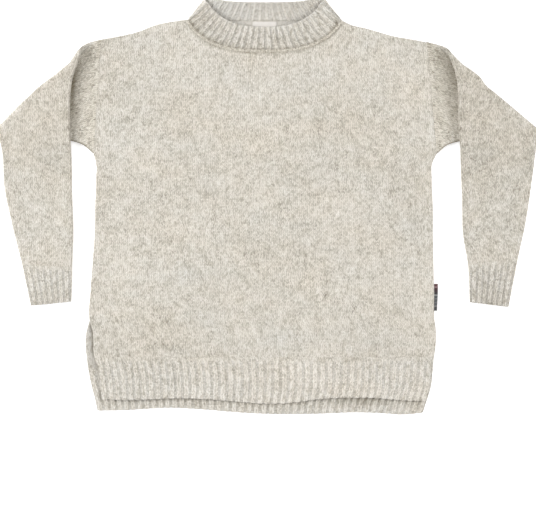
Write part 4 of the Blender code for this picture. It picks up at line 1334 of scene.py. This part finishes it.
fibre_material, tree, shader = new_material("wool_fibre", {"Roughness": 0.8, "Specular IOR Level": 0.2})
chance = tree.nodes.new("ShaderNodeNewGeometry").outputs["Random Per Island"]
tree.links.new(shades(tree, chance, FIBRE_COLOURS), shader.inputs["Base Color"])
knitted = [front, back, front_hem, back_hem, collar] + tubes_of_sleeves
loose_fibres("edge_fibres", knitted, 9000, True, 1.2 * MM, 3.6 * MM, 7)
loose_fibres("face_fibres", knitted, 7000, False, 3.0 * MM, 7.0 * MM, 8)

# ---------------------------------------- neck label
# A blank cream woven label, sewn flat inside the back neck by its two ends.
LABEL_WIDTH = 42 * MM
LABEL_HEIGHT = 17 * MM
LABEL_THICK = 0.5 * MM
LABEL_TOP = 324.2 * MM


def woven_tape(name, thread_size, colours, shine=0.3, blocks=None):
    """Smooth woven tape, in one mottled colour, or in blocks between two heights."""
    material, tree, shader = new_material(
        name, {"Roughness": 0.6, "Specular IOR Level": shine, "Sheen Weight": 0.15})
    spot = tree.nodes.new("ShaderNodeTexCoord").outputs["Object"]
    threads = separate(tree, wire(tree, "Mapping", spot, (0, 0, 0), (0, 0, 0), (1 / thread_size,) * 3))
    over, under = (sums(tree, "SINE", times(tree, threads[k], 2 * math.pi)) for k in (0, 1))
    if blocks:
        place = wire(tree, "MapRange", separate(tree, spot)[1], *blocks, 0.0, 1.0)
        colour = shades(tree, place, colours, "CONSTANT")
    else:
        colour = shades(tree, noise(tree, spot, 300.0, 2.0, 0.6, "3D"), colours)
    dress(tree, shader, colour, times(tree, over, under), 0.35, 0.1 * MM)
    return material


def tape_wall(name, line, thick, ends, material, cross):
    """Tape that follows a line in one plane and runs straight between two ends."""
    line = np.asarray(line, float)
    along = np.gradient(line, axis=0)
    normal = unit(stacked(-along[:, 1], along[:, 0]))
    ring = np.concatenate((line + normal * thick / 2, (line - normal * thick / 2)[::-1]))
    stations = np.linspace(ends[0], ends[1], 14)
    points = [cross(a, b, s) for s in stations for a, b in ring]
    return plain_piece(name, points, tube_faces(len(stations), len(ring)), material)


def label_place(a, b, s):
    """Where a corner of the label lies. Its upper edge stands a little off the back."""
    return a, s, b + 0.4 * MM * (s - LABEL_TOP + LABEL_HEIGHT) / LABEL_HEIGHT


label_tape = woven_tape("label_tape", 0.5 * MM, ((0.0, (0.67, 0.64, 0.60)), (1.0, (0.77, 0.74, 0.70))))
s = np.linspace(-1, 1, 41)
curl = 0.35 * MM * (1 - s ** 2) + 0.12 * MM * np.sin(9 * s)
line = stacked(s * LABEL_WIDTH / 2, WALL + SEAM_GAP + LABEL_THICK + curl)
label = tape_wall("label_of_neck", line, LABEL_THICK, (LABEL_TOP - LABEL_HEIGHT, LABEL_TOP), label_tape,
                  label_place)
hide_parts("neck_label")

# ---------------------------------------- side tag
# A narrow woven tag, folded in half and caught in the left side seam above the slit. It has
# plain blocks of colour along its length and nothing written on it.
TAG_REACH = 8.5 * MM            # how far it stands out of the seam
TAG_LENGTH = 47 * MM
TAG_TOP = -135 * MM
TAG_THICK = 0.4 * MM
TAG_GAP = 0.35 * MM             # from the middle between its two layers to either
TAG_BLOCKS = (
    # from the foot up: share of the length where the block starts, and its colour
    (0.00, (0.045, 0.045, 0.048)), (0.155, (0.28, 0.28, 0.28)), (0.185, (0.075, 0.08, 0.086)),
    (0.29, (0.18, 0.185, 0.19)), (0.315, (0.075, 0.08, 0.086)), (0.43, (0.22, 0.225, 0.22)),
    (0.455, (0.065, 0.068, 0.074)), (0.565, (0.38, 0.39, 0.38)), (0.60, (0.020, 0.016, 0.019)),
    (0.70, (0.035, 0.014, 0.019)), (0.80, (0.06, 0.020, 0.025)), (0.86, (0.34, 0.22, 0.23)),
    (0.90, (0.09, 0.03, 0.033)))

tag_ends = (TAG_TOP - TAG_LENGTH, TAG_TOP)
tag_tape = woven_tape("tag_tape", 0.4 * MM, TAG_BLOCKS, 0.4, tag_ends)
out_to = TAG_REACH - 1.0 * MM
straight = np.linspace(0, out_to, 12)
line = ([(a, -TAG_GAP) for a in straight]
        + [(out_to + TAG_GAP * math.cos(t), TAG_GAP * math.sin(t))
           for t in np.radians(np.linspace(-90, 90, 9))[1:-1]]
        + [(a, TAG_GAP) for a in straight[::-1]])


def tag_place(a, b, s):
    """Where a corner of the tag lies. It leans a little and comes down from the side seam."""
    start = float(edge_x(1, 1, s)) + SEAM_GAP
    drop = (MID - 2.0 * MM) * (a / TAG_REACH) ** 1.3
    narrowing = 0.88 - 0.22 * (TAG_TOP - s) / TAG_LENGTH
    return start + a * narrowing, s, MID - drop + b


tag = tape_wall("tag_of_side", line, TAG_THICK, tag_ends, tag_tape, tag_place)
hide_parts("side_tag")

# ---------------------------------------- finished piece
low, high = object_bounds()
